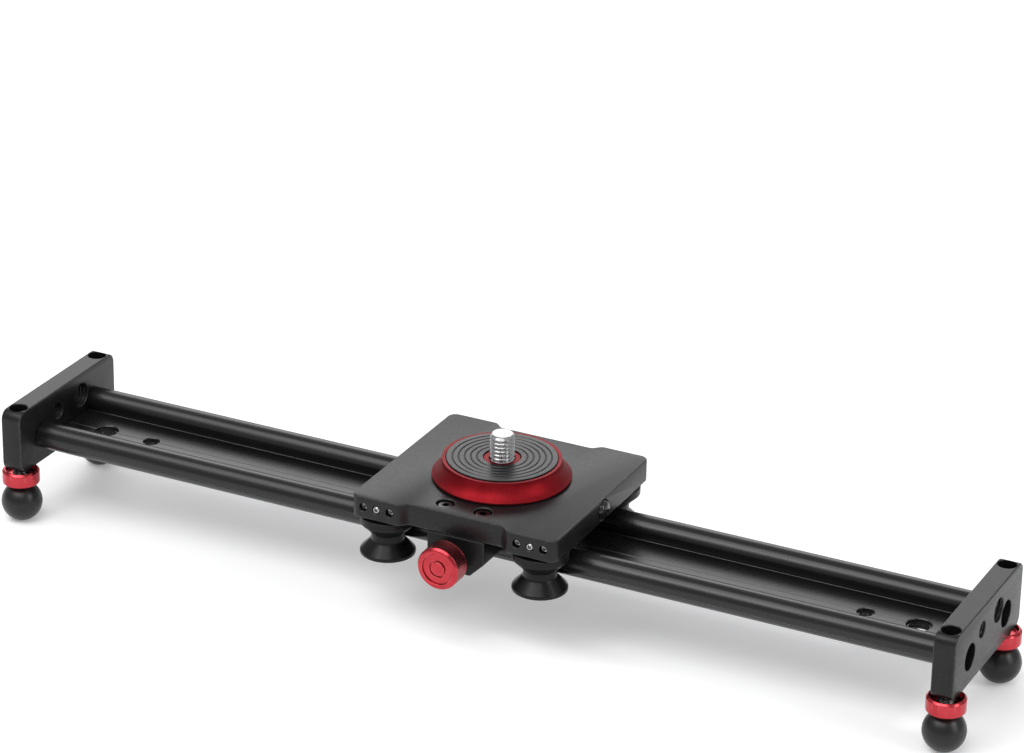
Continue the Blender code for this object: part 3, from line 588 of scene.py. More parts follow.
METAL = 1.0
COATED = 0.0
ANODISED_DARK = grey(0.0045, 0.05)
ANODISED_LIGHT = grey(0.0075, 0.05)
# Colour that chamfers and fillets lighten towards: partly bare-metal wear, partly a painted edge
# highlight.
BARE_AND_HIGHLIT_EDGE = grey(0.2)


def blasted_black(name, ior):
    """Bead-blasted aluminium under black anodising: even fine grain, faint clouding, and pale edges
    that are partly wear and partly a painted highlight.
    """
    graph = Graph(name)
    place = graph.place()
    grain = graph.noise(place, 3600.0, 3.0)
    cloud = graph.noise(place, 75.0, 3.0)
    body = graph.mix(graph.spread(cloud, 0.0, 1.0), ANODISED_DARK, ANODISED_LIGHT)
    speck = graph.spread(graph.noise(place, 1500.0, 1.0), 0.0, 0.55, 0.66, 0.74)
    body = graph.mix(speck, body, grey(0.035))
    colour = graph.mix(graph.wear(0.16), body, BARE_AND_HIGHLIT_EDGE)
    patches = graph.noise(place, 1300.0, 2.0)
    roughness = graph.sums("ADD", graph.spread(grain, 0.3, 0.4), graph.spread(patches, -0.03, 0.05))
    graph.surface(colour, roughness, COATED, ior)
    graph.bump(grain, 0.35, 0.00004)
    return graph.material


def drawn_black(name):
    """Extruded aluminium under black anodising: fine die lines along X."""
    graph = Graph(name)
    lines = graph.noise(graph.place((0.012, 1.0, 1.0)), 3200.0, 4.0)
    cloud = graph.noise(graph.place((0.2, 1.0, 1.0)), 90.0, 3.0)
    body = graph.mix(graph.spread(cloud, 0.0, 1.0), ANODISED_DARK, ANODISED_LIGHT)
    # Chamfers and fillets lightened: partly wear, partly a painted edge highlight.
    colour = graph.mix(graph.wear(0.12), body, BARE_AND_HIGHLIT_EDGE)
    graph.surface(colour, graph.spread(lines, 0.24, 0.3), COATED, 1.46)
    graph.bump(lines, 0.05, 0.00003)
    return graph.material


def turned_finish(name, axis, dark, light, worn_and_highlit, rough, metallic, ior=1.5, relief=0.25, wear=0.4):
    """A lathe-turned surface: tool marks in rings about the axis, and edges lightened partly as
    wear and partly as a painted highlight.
    """
    graph = Graph(name)
    rings = graph.noise(graph.turned_place(axis), 5200.0, 3.0)
    cloud = graph.noise(graph.place(), 160.0, 3.0)
    body = graph.mix(graph.spread(cloud, 0.0, 1.0), dark, light)
    colour = graph.mix(graph.wear(wear), body, worn_and_highlit)
    graph.surface(colour, graph.spread(rings, *rough), metallic, ior)
    graph.bump(rings, relief, 0.00003)
    return graph.material


def moulded_rubber(name):
    """Matt rubber: pebbled mould grain, with a little dust bloom."""
    graph = Graph(name)
    place = graph.place()
    pebble = graph.noise(place, 2600.0, 4.0)
    dust = graph.spread(graph.noise(place, 210.0, 4.0), 0.0, 0.4, 0.5, 0.72)
    body = graph.mix(dust, grey(0.007, 0.06), grey(0.015, 0.03))
    graph.surface(body, graph.spread(pebble, 0.28, 0.4), COATED, 1.42)
    graph.bump(pebble, 0.3, 0.00006)
    return graph.material


def by_axis(slot_name, name, axes, *values, **extra):
    """The same turned finish for each axis that its tool marks may run round."""
    finishes = {}
    for axis in axes:
        finishes[axis] = (slot_name, turned_finish(name + "_" + axis, axis, *values, **extra))
    return finishes


RED_DARK = (0.42, 0.036, 0.046, 1.0)
RED_LIGHT = (0.5, 0.05, 0.062, 1.0)
# Lighter red on the chamfers and fillets of red parts: partly wear, partly a painted edge
# highlight.
RED_WORN_AND_HIGHLIT = (0.85, 0.3, 0.3, 1.0)
BLASTED = ("black_anodised", blasted_black("blasted_black", 1.36))
# A less reflective copy of the blasted finish for the brake block: painted shade of the plate over
# it.
BLASTED_SHADED = ("black_anodised", blasted_black("blasted_shaded_black", 1.27))
DRAWN = ("black_anodised", drawn_black("drawn_black"))
THREADED = ("black_anodised", turned_finish(
    "cut_thread", "Z", grey(0.004), grey(0.008), grey(0.1), (0.22, 0.34), COATED, 1.3, wear=0.1))
RED = by_axis("red_anodised", "red_turned", "ZY", RED_DARK, RED_LIGHT, RED_WORN_AND_HIGHLIT, (0.2, 0.3), METAL,
              wear=0.3)
# A darker copy of the red finish for the mount disc: painted shade where a ball head's shadow would
# fall.
SHADED_RED = ("red_anodised", turned_finish(
    "shaded_red_turned", "Z", (0.2, 0.008, 0.012, 1.0), (0.25, 0.011, 0.016, 1.0),
    (0.42, 0.06, 0.07, 1.0), (0.46, 0.54), METAL, relief=0.1, wear=0.2))
STEEL = by_axis("bright_steel", "bright_turned", "ZY", grey(0.36), grey(0.46), grey(0.62),
                (0.18, 0.3), METAL)
OXIDE = by_axis("black_steel", "oxide_turned", "ZYX", grey(0.035), grey(0.06), grey(0.5),
                (0.22, 0.34), METAL, wear=0.6)
PLASTIC = by_axis("black_plastic", "plastic_turned", "ZY", grey(0.004), grey(0.007), grey(0.04),
                  (0.26, 0.34), COATED, 1.28, relief=0.12)
RUBBER = ("black_rubber", moulded_rubber("moulded_rubber"))
BUFFER = ("black_rubber", turned_finish(
    "gloss_buffer", "X", grey(0.008), grey(0.012), grey(0.03), (0.06, 0.12), COATED, relief=0.05))


# -------- rail and end blocks

def rail_outline():
    """Two rods and a web, drawn for the -Y side and mirrored, as (y, z) points."""
    web_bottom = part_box("track_rail")[0].z
    centre = (-ROD_Y, ROD_Z)
    lower = 360.0 - math.degrees(math.acos((ROD_Y - WEB_SIDE_Y) / ROD_RADIUS))
    seam = math.radians(SEAM_ANGLE)
    floor = ROD_RADIUS - SEAM_DEPTH
    rod_foot = arc(centre, ROD_RADIUS, ROD_TOP_ANGLE, SEAM_ANGLE - SEAM_HALF_ANGLE, 72)
    side = [(rod_foot[0][0] + WEB_FILLET, WEB_TOP)] + rod_foot
    side.append((centre[0] + floor * math.cos(seam), centre[1] + floor * math.sin(seam)))
    side += arc(centre, ROD_RADIUS, SEAM_ANGLE + SEAM_HALF_ANGLE, lower, 36)
    side += [(-WEB_SIDE_Y, web_bottom + WEB_EDGE), (-WEB_SIDE_Y + WEB_EDGE, web_bottom)]
    outline = side + [(-y, z) for y, z in reversed(side)]
    outline += [(WEB_LINE_HALF_WIDTH, WEB_TOP), (0.0, WEB_TOP - WEB_LINE_DEPTH),
                (-WEB_LINE_HALF_WIDTH, WEB_TOP)]
    return outline


def build_rail():
    low, high = reach_of("track_rail", 0)
    bm = bmesh.new()
    prism(bm, rail_outline(), low, high, lambda y, z, x: (x, y, z))
    rail = raw_object("track_rail_detail", bm, (0.0, 0.0, ROD_Z))
    through = WEB_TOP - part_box("track_rail")[0].z + MM
    cutters = bmesh.new()
    for end, _ in ENDS:
        mouth = high if end > 0 else low
        for side, _ in SIDES:
            lathe(cutters, hole(RAIL_BORE_RADIUS, RAIL_BORE_DEPTH), SMALL,
                  (mouth, side * ROD_Y, ROD_Z), "X" if end > 0 else "-X")
        for x, radius, _ in WEB_HOLES:
            profile = sunk_hole(radius, LEDGE_DEPTH, radius - LEDGE_WIDTH, through)
            lathe(cutters, profile, ROUND, (end * x, 0.0, WEB_TOP))
    carve(rail, cutters)
    finish_piece(rail, DRAWN, "slider", ["track_rail"])
    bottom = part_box("track_rail")[0].z + WEB_LINING_INSET
    for end, column in ENDS:
        for x, radius, pitch in WEB_HOLES:
            bm = bmesh.new()
            bore = radius - LEDGE_WIDTH
            top = WEB_TOP - LEDGE_DEPTH - WEB_LINING_INSET
            crest = bore - LINING_DEPTH
            thread(bm, crest, pitch, bottom, top, (end * x, 0.0, 0.0), "Z", bore - LINING_GAP)
            name = f"web_thread_{column}_{round(x / MM)}"
            finish_piece(raw_object(name, bm, (end * x, 0.0, bottom)), THREADED, "slider")


def build_end_block(end, column):
    node = "end_block_" + column
    low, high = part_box(node)
    inner, outer = (low.x, high.x) if end > 0 else (high.x, low.x)
    corner_y = high.y - BLOCK_CORNER
    corners = ((corner_y, high.z - BLOCK_CORNER, 0), (-corner_y, high.z - BLOCK_CORNER, 90),
               (-corner_y, low.z + BLOCK_CORNER, 180), (corner_y, low.z + BLOCK_CORNER, 270))
    outline = []
    for y, z, start in corners:
        outline += arc((y, z), BLOCK_CORNER, start, start + 90, 12)
    bm = bmesh.new()
    prism(bm, outline, low.x, high.x, lambda y, z, x: (x, y, z))
    block = raw_object(node + "_detail", bm, ((low.x + high.x) / 2, 0.0, (low.z + high.z) / 2))
    round_edges(block, EDGE_BREAK)
    cutters = bmesh.new()
    for _, row in SIDES:
        foot = centre_of(f"foot_stud_{row}_{column}")
        lathe(cutters, hole(FOOT_BORE_RADIUS, FOOT_BORE_TOP - low.z), SMALL,
              (foot.x, foot.y, low.z), "-Z")
        lathe(cutters, hole(TOP_HOLE_RADIUS, high.z - FOOT_BORE_TOP + BORE_OVERLAP), ROUND,
              (foot.x, foot.y, high.z))
    carve(block, cutters)
    out = "X" if end > 0 else "-X"
    into = "-X" if end > 0 else "X"
    deep = high.x - low.x
    cutters = bmesh.new()
    for side, _ in SIDES:
        profile = sunk_hole(SINK_RADIUS, SINK_DEPTH, RAIL_BORE_RADIUS, deep + MM, SINK_CHAMFER)
        lathe(cutters, profile, ROUND, (outer, side * ROD_Y, ROD_Z), out)
    for y, radius, _ in SIDE_HOLES:
        profile = hole(radius, deep + MM)
        lathe(cutters, profile, ROUND, (outer, y, SIDE_HOLE_Z), out)
    carve(block, cutters)
    cutters = bmesh.new()
    for y, radius, _ in SIDE_HOLES:
        countersink = [(0.0, -HOLE_CHAMFER, 0.0), (radius, -HOLE_CHAMFER, 0.0),
                       (radius + 2 * HOLE_CHAMFER, HOLE_CHAMFER, 0.0), (0.0, HOLE_CHAMFER, 0.0)]
        lathe(cutters, countersink, ROUND, (inner, y, SIDE_HOLE_Z), into)
    carve(block, cutters)
    finish_piece(block, BLASTED, "slider", [node])
    for y, radius, pitch in SIDE_HOLES:
        bm = bmesh.new()
        crest = radius - LINING_DEPTH
        thread(bm, crest, pitch, SIDE_LINING_INSET, deep - SIDE_LINING_INSET,
               (inner, y, SIDE_HOLE_Z), out, radius - LINING_GAP)
        place = "wide" if radius > 4 * MM else "narrow"
        item = raw_object(f"side_thread_{column}_{place}", bm, (inner, y, SIDE_HOLE_Z))
        finish_piece(item, THREADED, "slider")


def build_rail_bolt(end, column, side, row):
    node = f"rail_bolt_{row}_{column}"
    low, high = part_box(node)
    length = high.x - low.x
    radius = radius_of(node, 1)
    neck = length - BOLT_HEAD_LENGTH
    axis = "X" if end > 0 else "-X"
    tip = (low.x if end > 0 else high.x, side * ROD_Y, ROD_Z)
    face = (high.x if end > 0 else low.x, side * ROD_Y, ROD_Z)
    ridges = knurl(radius, neck + KNURL_START, length - KNURL_STOP, BOLT_RIDGES, BOLT_RIDGE_DEPTH)
    corners = [(0.0, 0.0, 0.0), (BOLT_TIP_RADIUS, 0.0, 0.0),
               (BOLT_SHANK_RADIUS, BOLT_TIP_LENGTH, 0.0), (BOLT_SHANK_RADIUS, neck, 0.0),
               (radius, neck, 0.2 * MM), (radius, neck + 0.5 * MM, 0.0),
               (radius, length - 0.7 * MM, 0.0), (radius, length, 0.4 * MM), (0.0, length, 0.0)]
    bm = bmesh.new()
    lathe(bm, corners, BOLT_FACETS, tip, axis, ridges)
    bolt = raw_object(node + "_detail", bm, face)
    cutters = bmesh.new()
    hexagon(cutters, BOLT_SOCKET, face, axis)
    carve(bolt, cutters)
    finish_piece(bolt, OXIDE["X"], "slider", [node])


# -------- feet

def build_foot(column, row):
    tag = f"{row}_{column}"
    build_ball(tag)
    build_collar(tag)
    node = "foot_stud_" + tag
    low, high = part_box(node)
    centre = centre_of(node)
    collar_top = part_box("foot_collar_" + tag)[1].z
    bm = bmesh.new()
    thread(bm, radius_of(node), METRIC_PITCH, low.z, high.z, (centre.x, centre.y, 0.0))
    stud = raw_object(node + "_detail", bm, (centre.x, centre.y, collar_top))
    cutters = bmesh.new()
    hexagon(cutters, FOOT_SOCKET, (centre.x, centre.y, high.z), "Z")
    carve(stud, cutters)
    finish_piece(stud, OXIDE["Z"], "foot_screw_" + tag, [node])


def build_ball(tag):
    node = "foot_ball_" + tag
    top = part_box(node)[1].z
    radius = radius_of(node)
    middle = math.sqrt(radius ** 2 - BALL_FLAT_RADIUS ** 2)
    bore = radius_of("foot_stud_" + tag) + FOOT_BORE_GAP
    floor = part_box("foot_stud_" + tag)[0].z - FOOT_BORE_GAP
    start = -90.0 + math.degrees(math.asin(BALL_FLAT_RADIUS / radius))
    stop = math.degrees(math.asin((top - middle) / radius))
    outline = arc((0.0, middle), radius, start, stop, 56)
    corners = [(0.0, 0.0, 0.0)] + [(r, z, 0.0) for r, z in outline]
    corners += [(bore + MM, top, 0.0), (bore, top - MM, 0.0), (bore, floor, 0.0),
                (0.0, floor, 0.0)]

    def parting(width, height, _):
        """A faint mould line round the equator."""
        line = PARTING_HEIGHT * math.exp(-((height - middle) / PARTING_WIDTH) ** 2)
        return width + line if width > bore + MM and height < top else width

    centre = centre_of(node)
    turned_piece(node, corners, FINE, RUBBER, "foot_" + tag, Vector((centre.x, centre.y, 0)),
                 shape=parting)


def build_collar(tag):
    node = "foot_collar_" + tag
    low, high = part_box(node)
    height = high.z - low.z
    radius = radius_of(node)
    bore = radius_of("foot_stud_" + tag) + FOOT_BORE_GAP
    notch_foot = 0.5 * height

    def notch(width, level, angle):
        """Shallow marks cut in the upper half of the rim."""
        turn = (angle * COLLAR_NOTCHES / (2.0 * math.pi)) % 1.0
        near = min(turn, 1.0 - turn)
        cut = near < NOTCH_SHARE and level > notch_foot and width > COLLAR_DISH_RADIUS + 0.5 * MM
        return width - COLLAR_NOTCH_DEPTH * (1.0 - near / NOTCH_SHARE) if cut else width

    corners = [(bore, 0.0, 0.0), (radius - 1.1 * MM, 0.0, 0.15 * MM), (radius, 1.1 * MM, 0.15 * MM),
               (radius, notch_foot, 0.0), (radius, notch_foot + 0.1 * MM, 0.0),
               (radius, height - 0.8 * MM, 0.15 * MM), (radius - 0.8 * MM, height, 0.15 * MM),
               (COLLAR_DISH_RADIUS, height, 0.1 * MM),
               (COLLAR_DISH_RADIUS - 0.4 * MM, height - COLLAR_DISH_DEPTH, 0.2 * MM),
               (bore, height - COLLAR_DISH_DEPTH, 0.0)]
    centre = centre_of(node)
    turned_piece(node, corners, COLLAR_FACETS, RED["Z"], "foot_screw_" + tag,
                 Vector((centre.x, centre.y, low.z)), shape=notch)


# -------- carriage

def plate_outline(half_x, half_y):
    """Rectangle with four ears; a cosine step blends each ear into the waist."""
    corner = (half_x - PLATE_CORNER, half_y - PLATE_CORNER)
    quarter = arc(corner, PLATE_CORNER, 0, 90, 14)
    for step in range(25):
        part = step / 24.0
        x = EAR_START + (WAIST_HALF_LENGTH - EAR_START) * part
        drop = WAIST_DEPTH * (1.0 - math.cos(math.pi * part)) / 2.0
        quarter.append((x, half_y - drop))
    back = quarter + [(-x, y) for x, y in reversed(quarter)]
    return back + [(-x, -y) for x, y in back]


def build_plate():
    low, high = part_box("carriage_plate")
    middle = centre_of("carriage_plate")
    thick = high.z - low.z
    bm = bmesh.new()
    outline = plate_outline((high.x - low.x) / 2, (high.y - low.y) / 2)
    prism(bm, outline, low.z, high.z, lambda x, y, z: (x + middle.x, y, z))
    plate = raw_object("carriage_plate_detail", bm, middle)
    round_edges(plate, EDGE_BREAK)
    cutters = bmesh.new()
    for end, column in ENDS:
        clamp = centre_of("clamp_screw_" + column)
        profile = sunk_hole(CLAMP_SINK_RADIUS, CLAMP_SINK_DEPTH, CLAMP_BORE_RADIUS, thick + MM)
        lathe(cutters, profile, ROUND, (clamp.x, clamp.y, high.z))
        face = high.x if end > 0 else low.x
        profile = hole(BUMPER_HOLE_RADIUS, BUMPER_HOLE_DEPTH)
        lathe(cutters, profile, ROUND, (face, 0.0, middle.z), "X" if end > 0 else "-X")
        for _, row in SIDES:
            axle = centre_of(f"roller_axle_{row}_{column}")
            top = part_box(f"roller_axle_{row}_{column}")[1].z
            lathe(cutters, hole(AXLE_BORE_RADIUS, top - low.z + 0.3 * MM), SMALL,
                  (axle.x, axle.y, low.z), "-Z")
    profile = sunk_hole(MOUNT_POCKET_RADIUS, MOUNT_POCKET_DEPTH, MOUNT_BORE_RADIUS, thick + MM)
    lathe(cutters, profile, ROUND, (middle.x, 0.0, low.z), "-Z")
    carve(plate, cutters)
    cutters = bmesh.new()
    for side, row in SIDES:
        edge = high.y if side > 0 else low.y
        for _, column in ENDS:
            to_axle = abs(edge - centre_of(f"roller_axle_{row}_{column}").y)
            for letter in "abc":
                screw = centre_of(f"set_screw_{row}_{column}_{letter}")
                depth = to_axle if letter == "b" else SCREW_HOLE_DEPTH
                lathe(cutters, hole(SCREW_HOLE_RADIUS, depth, 0.2 * MM), SMALL,
                      (screw.x, edge, screw.z), "Y" if side > 0 else "-Y")
    carve(plate, cutters)
    finish_piece(plate, BLASTED, "carriage", ["carriage_plate"])


def build_set_screw(node, side):
    low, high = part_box(node)
    centre = centre_of(node)
    radius = radius_of(node)
    face = (centre.x, high.y if side > 0 else low.y, centre.z)
    length = high.y - low.y
    axis = "Y" if side > 0 else "-Y"
    corners = [(0.0, -length, 0.0), (0.6 * radius, -length, 0.0), (radius, -length + 0.5 * MM, 0.0),
               (radius, -0.25 * MM, 0.0), (0.82 * radius, 0.0, 0.0), (0.0, 0.0, 0.0)]
    bm = bmesh.new()
    lathe(bm, corners, SMALL, face, axis)
    screw = raw_object(node + "_detail", bm, face)
    cutters = bmesh.new()
    hexagon(cutters, SET_SCREW_SOCKET, face, axis)
    carve(screw, cutters)
    finish_piece(screw, STEEL["Y"], "carriage", [node])


def build_clamp_screw(column):
    node = "clamp_screw_" + column
    low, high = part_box(node)
    centre = centre_of(node)
    radius = radius_of(node)
    neck = high.z - CLAMP_HEAD_LENGTH
    ridges = knurl(radius, neck + KNURL_START, high.z - KNURL_STOP, CLAMP_RIDGES, CLAMP_RIDGE_DEPTH)
    corners = [(0.0, low.z, 0.0), (CLAMP_SHANK_RADIUS, low.z, 0.2 * MM),
               (CLAMP_SHANK_RADIUS, neck, 0.0), (radius, neck, 0.1 * MM),
               (radius, neck + 0.5 * MM, 0.0), (radius, high.z - 0.6 * MM, 0.0),
               (radius, high.z, 0.25 * MM), (0.0, high.z, 0.0)]
    bm = bmesh.new()
    lathe(bm, corners, ROUND, (centre.x, centre.y, 0.0), "Z", ridges)
    screw = raw_object(node + "_detail", bm, (centre.x, centre.y, high.z))
    cutters = bmesh.new()
    hexagon(cutters, CLAMP_SOCKET, (centre.x, centre.y, high.z), "Z")
    carve(screw, cutters)
    finish_piece(screw, OXIDE["Z"], "carriage", [node])


def build_bumper(end, column):
    node = "bumper_" + column
    low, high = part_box(node)
    centre = centre_of(node)
    radius = radius_of(node, 1)
    length = high.x - low.x
    back = (low.x if end > 0 else high.x, centre.y, centre.z)
    corners = [(0.0, 0.0, 0.0), (radius, 0.0, 0.2 * MM)]
    for step in range(BUMPER_STEPS):
        angle = math.pi / 2 * step / BUMPER_STEPS
        corners.append((radius * math.cos(angle) ** BUMPER_POWER,
                        length - BUMPER_DOME + BUMPER_DOME * math.sin(angle), 0.0))
    corners.append((0.0, length, 0.0))
    turned_piece(node, corners, ROUND, BUFFER, "carriage", Vector(back), "X" if end > 0 else "-X")


# -------- rollers

def build_roller(column, row):
    tag = f"{row}_{column}"
    node = "roller_" + tag
    low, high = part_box(node)
    centre = centre_of(node)
    rim = radius_of(node)
    flare = NECK_HALF + rim - NECK_RADIUS
    bottom = low.z - ROD_Z
    top = high.z - ROD_Z
    groove = bottom + FACE_GROOVE_DEPTH
    corners = [(ROLLER_BORE, bottom + 0.3 * MM, 0.0), (ROLLER_BORE + 0.3 * MM, bottom, 0.0),
               (rim - 2.6 * MM, bottom, 0.1 * MM), (rim - 2.4 * MM, groove, 0.1 * MM),
               (rim - 1.4 * MM, groove, 0.1 * MM), (rim - 1.2 * MM, bottom, 0.1 * MM),
               (rim, bottom, 0.35 * MM), (rim, -flare, 0.3 * MM),
               (NECK_RADIUS, -NECK_HALF, 0.5 * MM), (NECK_RADIUS, NECK_HALF, 0.5 * MM),
               (rim, flare, 0.3 * MM), (rim, top, 0.35 * MM), (ROLLER_BORE + 0.3 * MM, top, 0.0),
               (ROLLER_BORE, top - 0.3 * MM, 0.0)]
    place = Vector((centre.x, centre.y, ROD_Z))
    turned_piece(node, corners, FINE, PLASTIC["Z"], "wheel_" + tag, place)
    build_bearing("roller_bearing_" + tag, place)
    build_spacer("roller_spacer_" + tag, place)
    build_axle("roller_axle_" + tag)


def build_bearing(node, place):
    """Races with a sunk shield between them on both faces."""
    low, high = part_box(node)
    radius = radius_of(node)
    half = (high.z - low.z) / 2
    bore = AXLE_RADIUS + AXLE_GAP
    inner = bore + INNER_RACE
    outer = radius - OUTER_RACE
    floor = half - SHIELD_DEPTH
    corners = [(bore, -half, 0.1 * MM), (inner, -half, 0.0), (inner, -floor, 0.0),
               (outer, -floor, 0.0), (outer, -half, 0.0), (radius, -half, 0.2 * MM),
               (radius, half, 0.2 * MM), (outer, half, 0.0), (outer, floor, 0.0),
               (inner, floor, 0.0), (inner, half, 0.0), (bore, half, 0.1 * MM)]
    turned_piece(node, corners, ROUND, STEEL["Z"], "carriage", place)


def build_spacer(node, place):
    low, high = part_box(node)
    radius = radius_of(node)
    bore = AXLE_RADIUS + AXLE_GAP
    height = high.z - low.z
    corners = [(bore, 0.0, 0.0), (radius, 0.0, 0.2 * MM), (radius, height, 0.2 * MM),
               (bore, height, 0.0)]
    turned_piece(node, corners, ROUND, STEEL["Z"], "carriage", Vector((place.x, place.y, low.z)))


def build_axle(node):
    low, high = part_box(node)
    centre = centre_of(node)
    radius = radius_of(node)
    neck = ROD_Z - AXLE_NECK_DROP
    corners = [(0.0, low.z, 0.0), (radius, low.z, 0.35 * MM), (radius, neck, 0.15 * MM),
               (AXLE_RADIUS, neck, 0.0), (AXLE_RADIUS, high.z, 0.3 * MM), (0.0, high.z, 0.0)]
    bm = bmesh.new()
    lathe(bm, corners, ROUND, (centre.x, centre.y, 0.0))
    axle = raw_object(node + "_detail", bm, (centre.x, centre.y, neck))
    cutters = bmesh.new()
    hexagon(cutters, AXLE_SOCKET, (centre.x, centre.y, low.z), "-Z")
    carve(axle, cutters)
    finish_piece(axle, STEEL["Z"], "carriage", [node])


# -------- brake

def build_brake():
    low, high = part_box("brake_block")
    middle = centre_of("brake_block")
    wide = (high.x - low.x) / 2
    outline = [(wide, high.z), (-wide, high.z), (-wide, low.z + BRAKE_CORNER),
               (BRAKE_CORNER - wide, low.z), (wide - BRAKE_CORNER, low.z),
               (wide, low.z + BRAKE_CORNER)]
    bm = bmesh.new()
    prism(bm, outline, low.y, high.y, lambda x, z, y: (x + middle.x, y, z))
    block = raw_object("brake_block_detail", bm, (middle.x, middle.y, ROD_Z))
    round_edges(block, BRAKE_EDGE_BREAK)
    cutters = bmesh.new()
    knob = centre_of("brake_knob")
    axis_point = Vector((knob.x, 0.0, knob.z))
    shoe_low, shoe_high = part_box("brake_shoe")
    mouth = BRAKE_BORE_RADIUS + BRAKE_EDGE_BREAK
    ledge = shoe_low.y - SHOE_GAP
    bore = [(0.0, low.y - MM, 0.0), (mouth, low.y - MM, 0.0), (mouth, low.y, 0.0),
            (BRAKE_BORE_RADIUS, low.y + BRAKE_EDGE_BREAK, 0.0), (BRAKE_BORE_RADIUS, ledge, 0.0),
            (SHOE_BORE_RADIUS, ledge, 0.0), (SHOE_BORE_RADIUS, high.y + MM, 0.0),
            (0.0, high.y + MM, 0.0)]
    lathe(cutters, bore, ROUND, axis_point, "Y")
    for _, column in ENDS:
        clamp = centre_of("clamp_screw_" + column)
        depth = high.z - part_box("clamp_screw_" + column)[0].z + BORE_OVERLAP
        lathe(cutters, hole(BRAKE_CLAMP_BORE_RADIUS, depth), SMALL, (clamp.x, clamp.y, high.z))
    carve(block, cutters)
    # The brake block takes the shaded copy: painted shade of the plate above.
    finish_piece(block, BLASTED_SHADED, "carriage", ["brake_block"])

    radius = radius_of("brake_shoe")
    shoe = [(0.0, shoe_low.y, 0.0), (radius, shoe_low.y, 0.1 * MM),
            (radius, shoe_high.y, 0.4 * MM), (0.0, shoe_high.y, 0.0)]
    turned_piece("brake_shoe", shoe, ROUND, PLASTIC["Y"], "brake_pusher", axis_point, "Y")
    build_brake_screw(axis_point)
    build_knob(axis_point)


def build_brake_screw(axis_point):
    low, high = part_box("brake_screw")
    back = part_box("brake_knob")[1].y + 0.3 * MM
    shoulder = back + BRAKE_COLLAR_LENGTH
    bm = bmesh.new()
    lathe(bm, [(0.0, low.y, 0.0), (BRAKE_SCREW_RADIUS, low.y, 0.0),
               (BRAKE_SCREW_RADIUS, back, 0.0), (BRAKE_COLLAR_RADIUS, back, 0.25 * MM),
               (BRAKE_COLLAR_RADIUS, shoulder, 0.25 * MM),
               (ROOT_SHARE * BRAKE_SCREW_RADIUS, shoulder, 0.0), (0.0, shoulder, 0.0)],
          ROUND, axis_point, "Y")
    screw = raw_object("brake_screw_detail", bm, axis_point)
    finish_piece(screw, OXIDE["Y"], "brake_handle", ["brake_screw"])
    bm = bmesh.new()
    thread(bm, BRAKE_SCREW_RADIUS, METRIC_PITCH, shoulder + THREAD_GAP, high.y, axis_point, "Y")
    finish_piece(raw_object("brake_screw_thread", bm, axis_point), OXIDE["Y"], "brake_handle")


def build_knob(axis_point):
    low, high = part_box("brake_knob")
    radius = radius_of("brake_knob")
    front = low.y
    back = high.y
    bore = BRAKE_SCREW_RADIUS + 0.2 * MM
    groove_front = front + 1.1 * MM
    groove_back = back - 0.9 * MM
    ridges = knurl(radius, groove_front, groove_back, KNOB_RIDGES, KNOB_RIDGE_DEPTH)
    corners = [(0.0, front + 0.45 * MM, 0.0), (2.8 * MM, front + 0.45 * MM, 0.25 * MM),
               (2.8 * MM, front + 1.4 * MM, 0.05 * MM), (3.5 * MM, front + 1.4 * MM, 0.05 * MM),
               (3.5 * MM, front + 0.65 * MM, 0.2 * MM), (5.85 * MM, front + 0.65 * MM, 0.0),
               (5.95 * MM, front + 0.85 * MM, 0.0), (6.1 * MM, front + 0.85 * MM, 0.0),
               (6.2 * MM, front, 0.2 * MM), (radius - 0.9 * MM, front, 0.3 * MM),
               (radius, front + 0.9 * MM, 0.25 * MM), (radius, groove_front + 0.05 * MM, 0.0),
               (radius, groove_back - 0.05 * MM, 0.0), (radius, back - 0.7 * MM, 0.1 * MM),
               (radius - 0.7 * MM, back, 0.15 * MM), (bore, back, 0.0),
               (bore, back - 3.8 * MM, 0.0), (0.0, back - 3.8 * MM, 0.0)]
    turned_piece("brake_knob", corners, KNOB_FACETS, RED["Y"], "brake_handle", axis_point, "Y",
                 ridges)


# -------- head mount

def build_head_mount():
    low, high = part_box("mount_disc")
    pad_low, pad_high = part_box("mount_pad")
    centre = centre_of("mount_disc")
    radius = radius_of("mount_disc")
    pad_radius = radius_of("mount_pad")
    start = low.z + DISC_SKIRT
    corners = [(MOUNT_BORE_RADIUS, low.z, 0.2 * MM), (radius - 0.25 * MM, low.z, 0.0),
               (radius, low.z + 0.25 * MM, 0.0), (radius, start, 0.1 * MM)]
    for step in range(1, DISC_FLANK_STEPS + 1):
        part = step / DISC_FLANK_STEPS
        slope = math.sin(part * math.pi / 2) ** DISC_FLANK_POWER
        corners.append((radius + (DISC_TOP_RADIUS - radius) * slope,
                        start + (high.z - start) * part, 0.0))
    recess = pad_low.z - PAD_GAP
    outer = pad_radius + PAD_GAP
    inner = PAD_BORE - PAD_GAP
    corners += [(outer, high.z, 0.1 * MM), (outer, recess, 0.0), (inner, recess, 0.0),
                (inner, high.z, 0.1 * MM), (MOUNT_BORE_RADIUS, high.z, 0.2 * MM)]
    place = Vector((centre.x, 0.0, 0.0))
    # The disc takes the shaded red: painted shade standing in for a ball head's shadow.
    turned_piece("mount_disc", corners, 2 * FINE, SHADED_RED, "head_lock", place)

    pad = [(PAD_BORE, pad_low.z, 0.0), (pad_radius, pad_low.z, 0.0),
           (pad_radius, pad_high.z, 0.15 * MM)]
    for rib in range(PAD_RIBS, 0, -1):
        ring = PAD_BORE + (pad_radius - PAD_BORE) * rib / (PAD_RIBS + 1)
        pad += [(ring + PAD_RIB_HALF_WIDTH, pad_high.z, 0.0),
                (ring, pad_high.z - PAD_RIB_HALF_WIDTH, 0.1 * MM),
                (ring - PAD_RIB_HALF_WIDTH, pad_high.z, 0.0)]
    pad.append((PAD_BORE, pad_high.z, 0.15 * MM))
    turned_piece("mount_pad", pad, FINE, RUBBER, "head_pad", place)
    build_mount_stud(place)


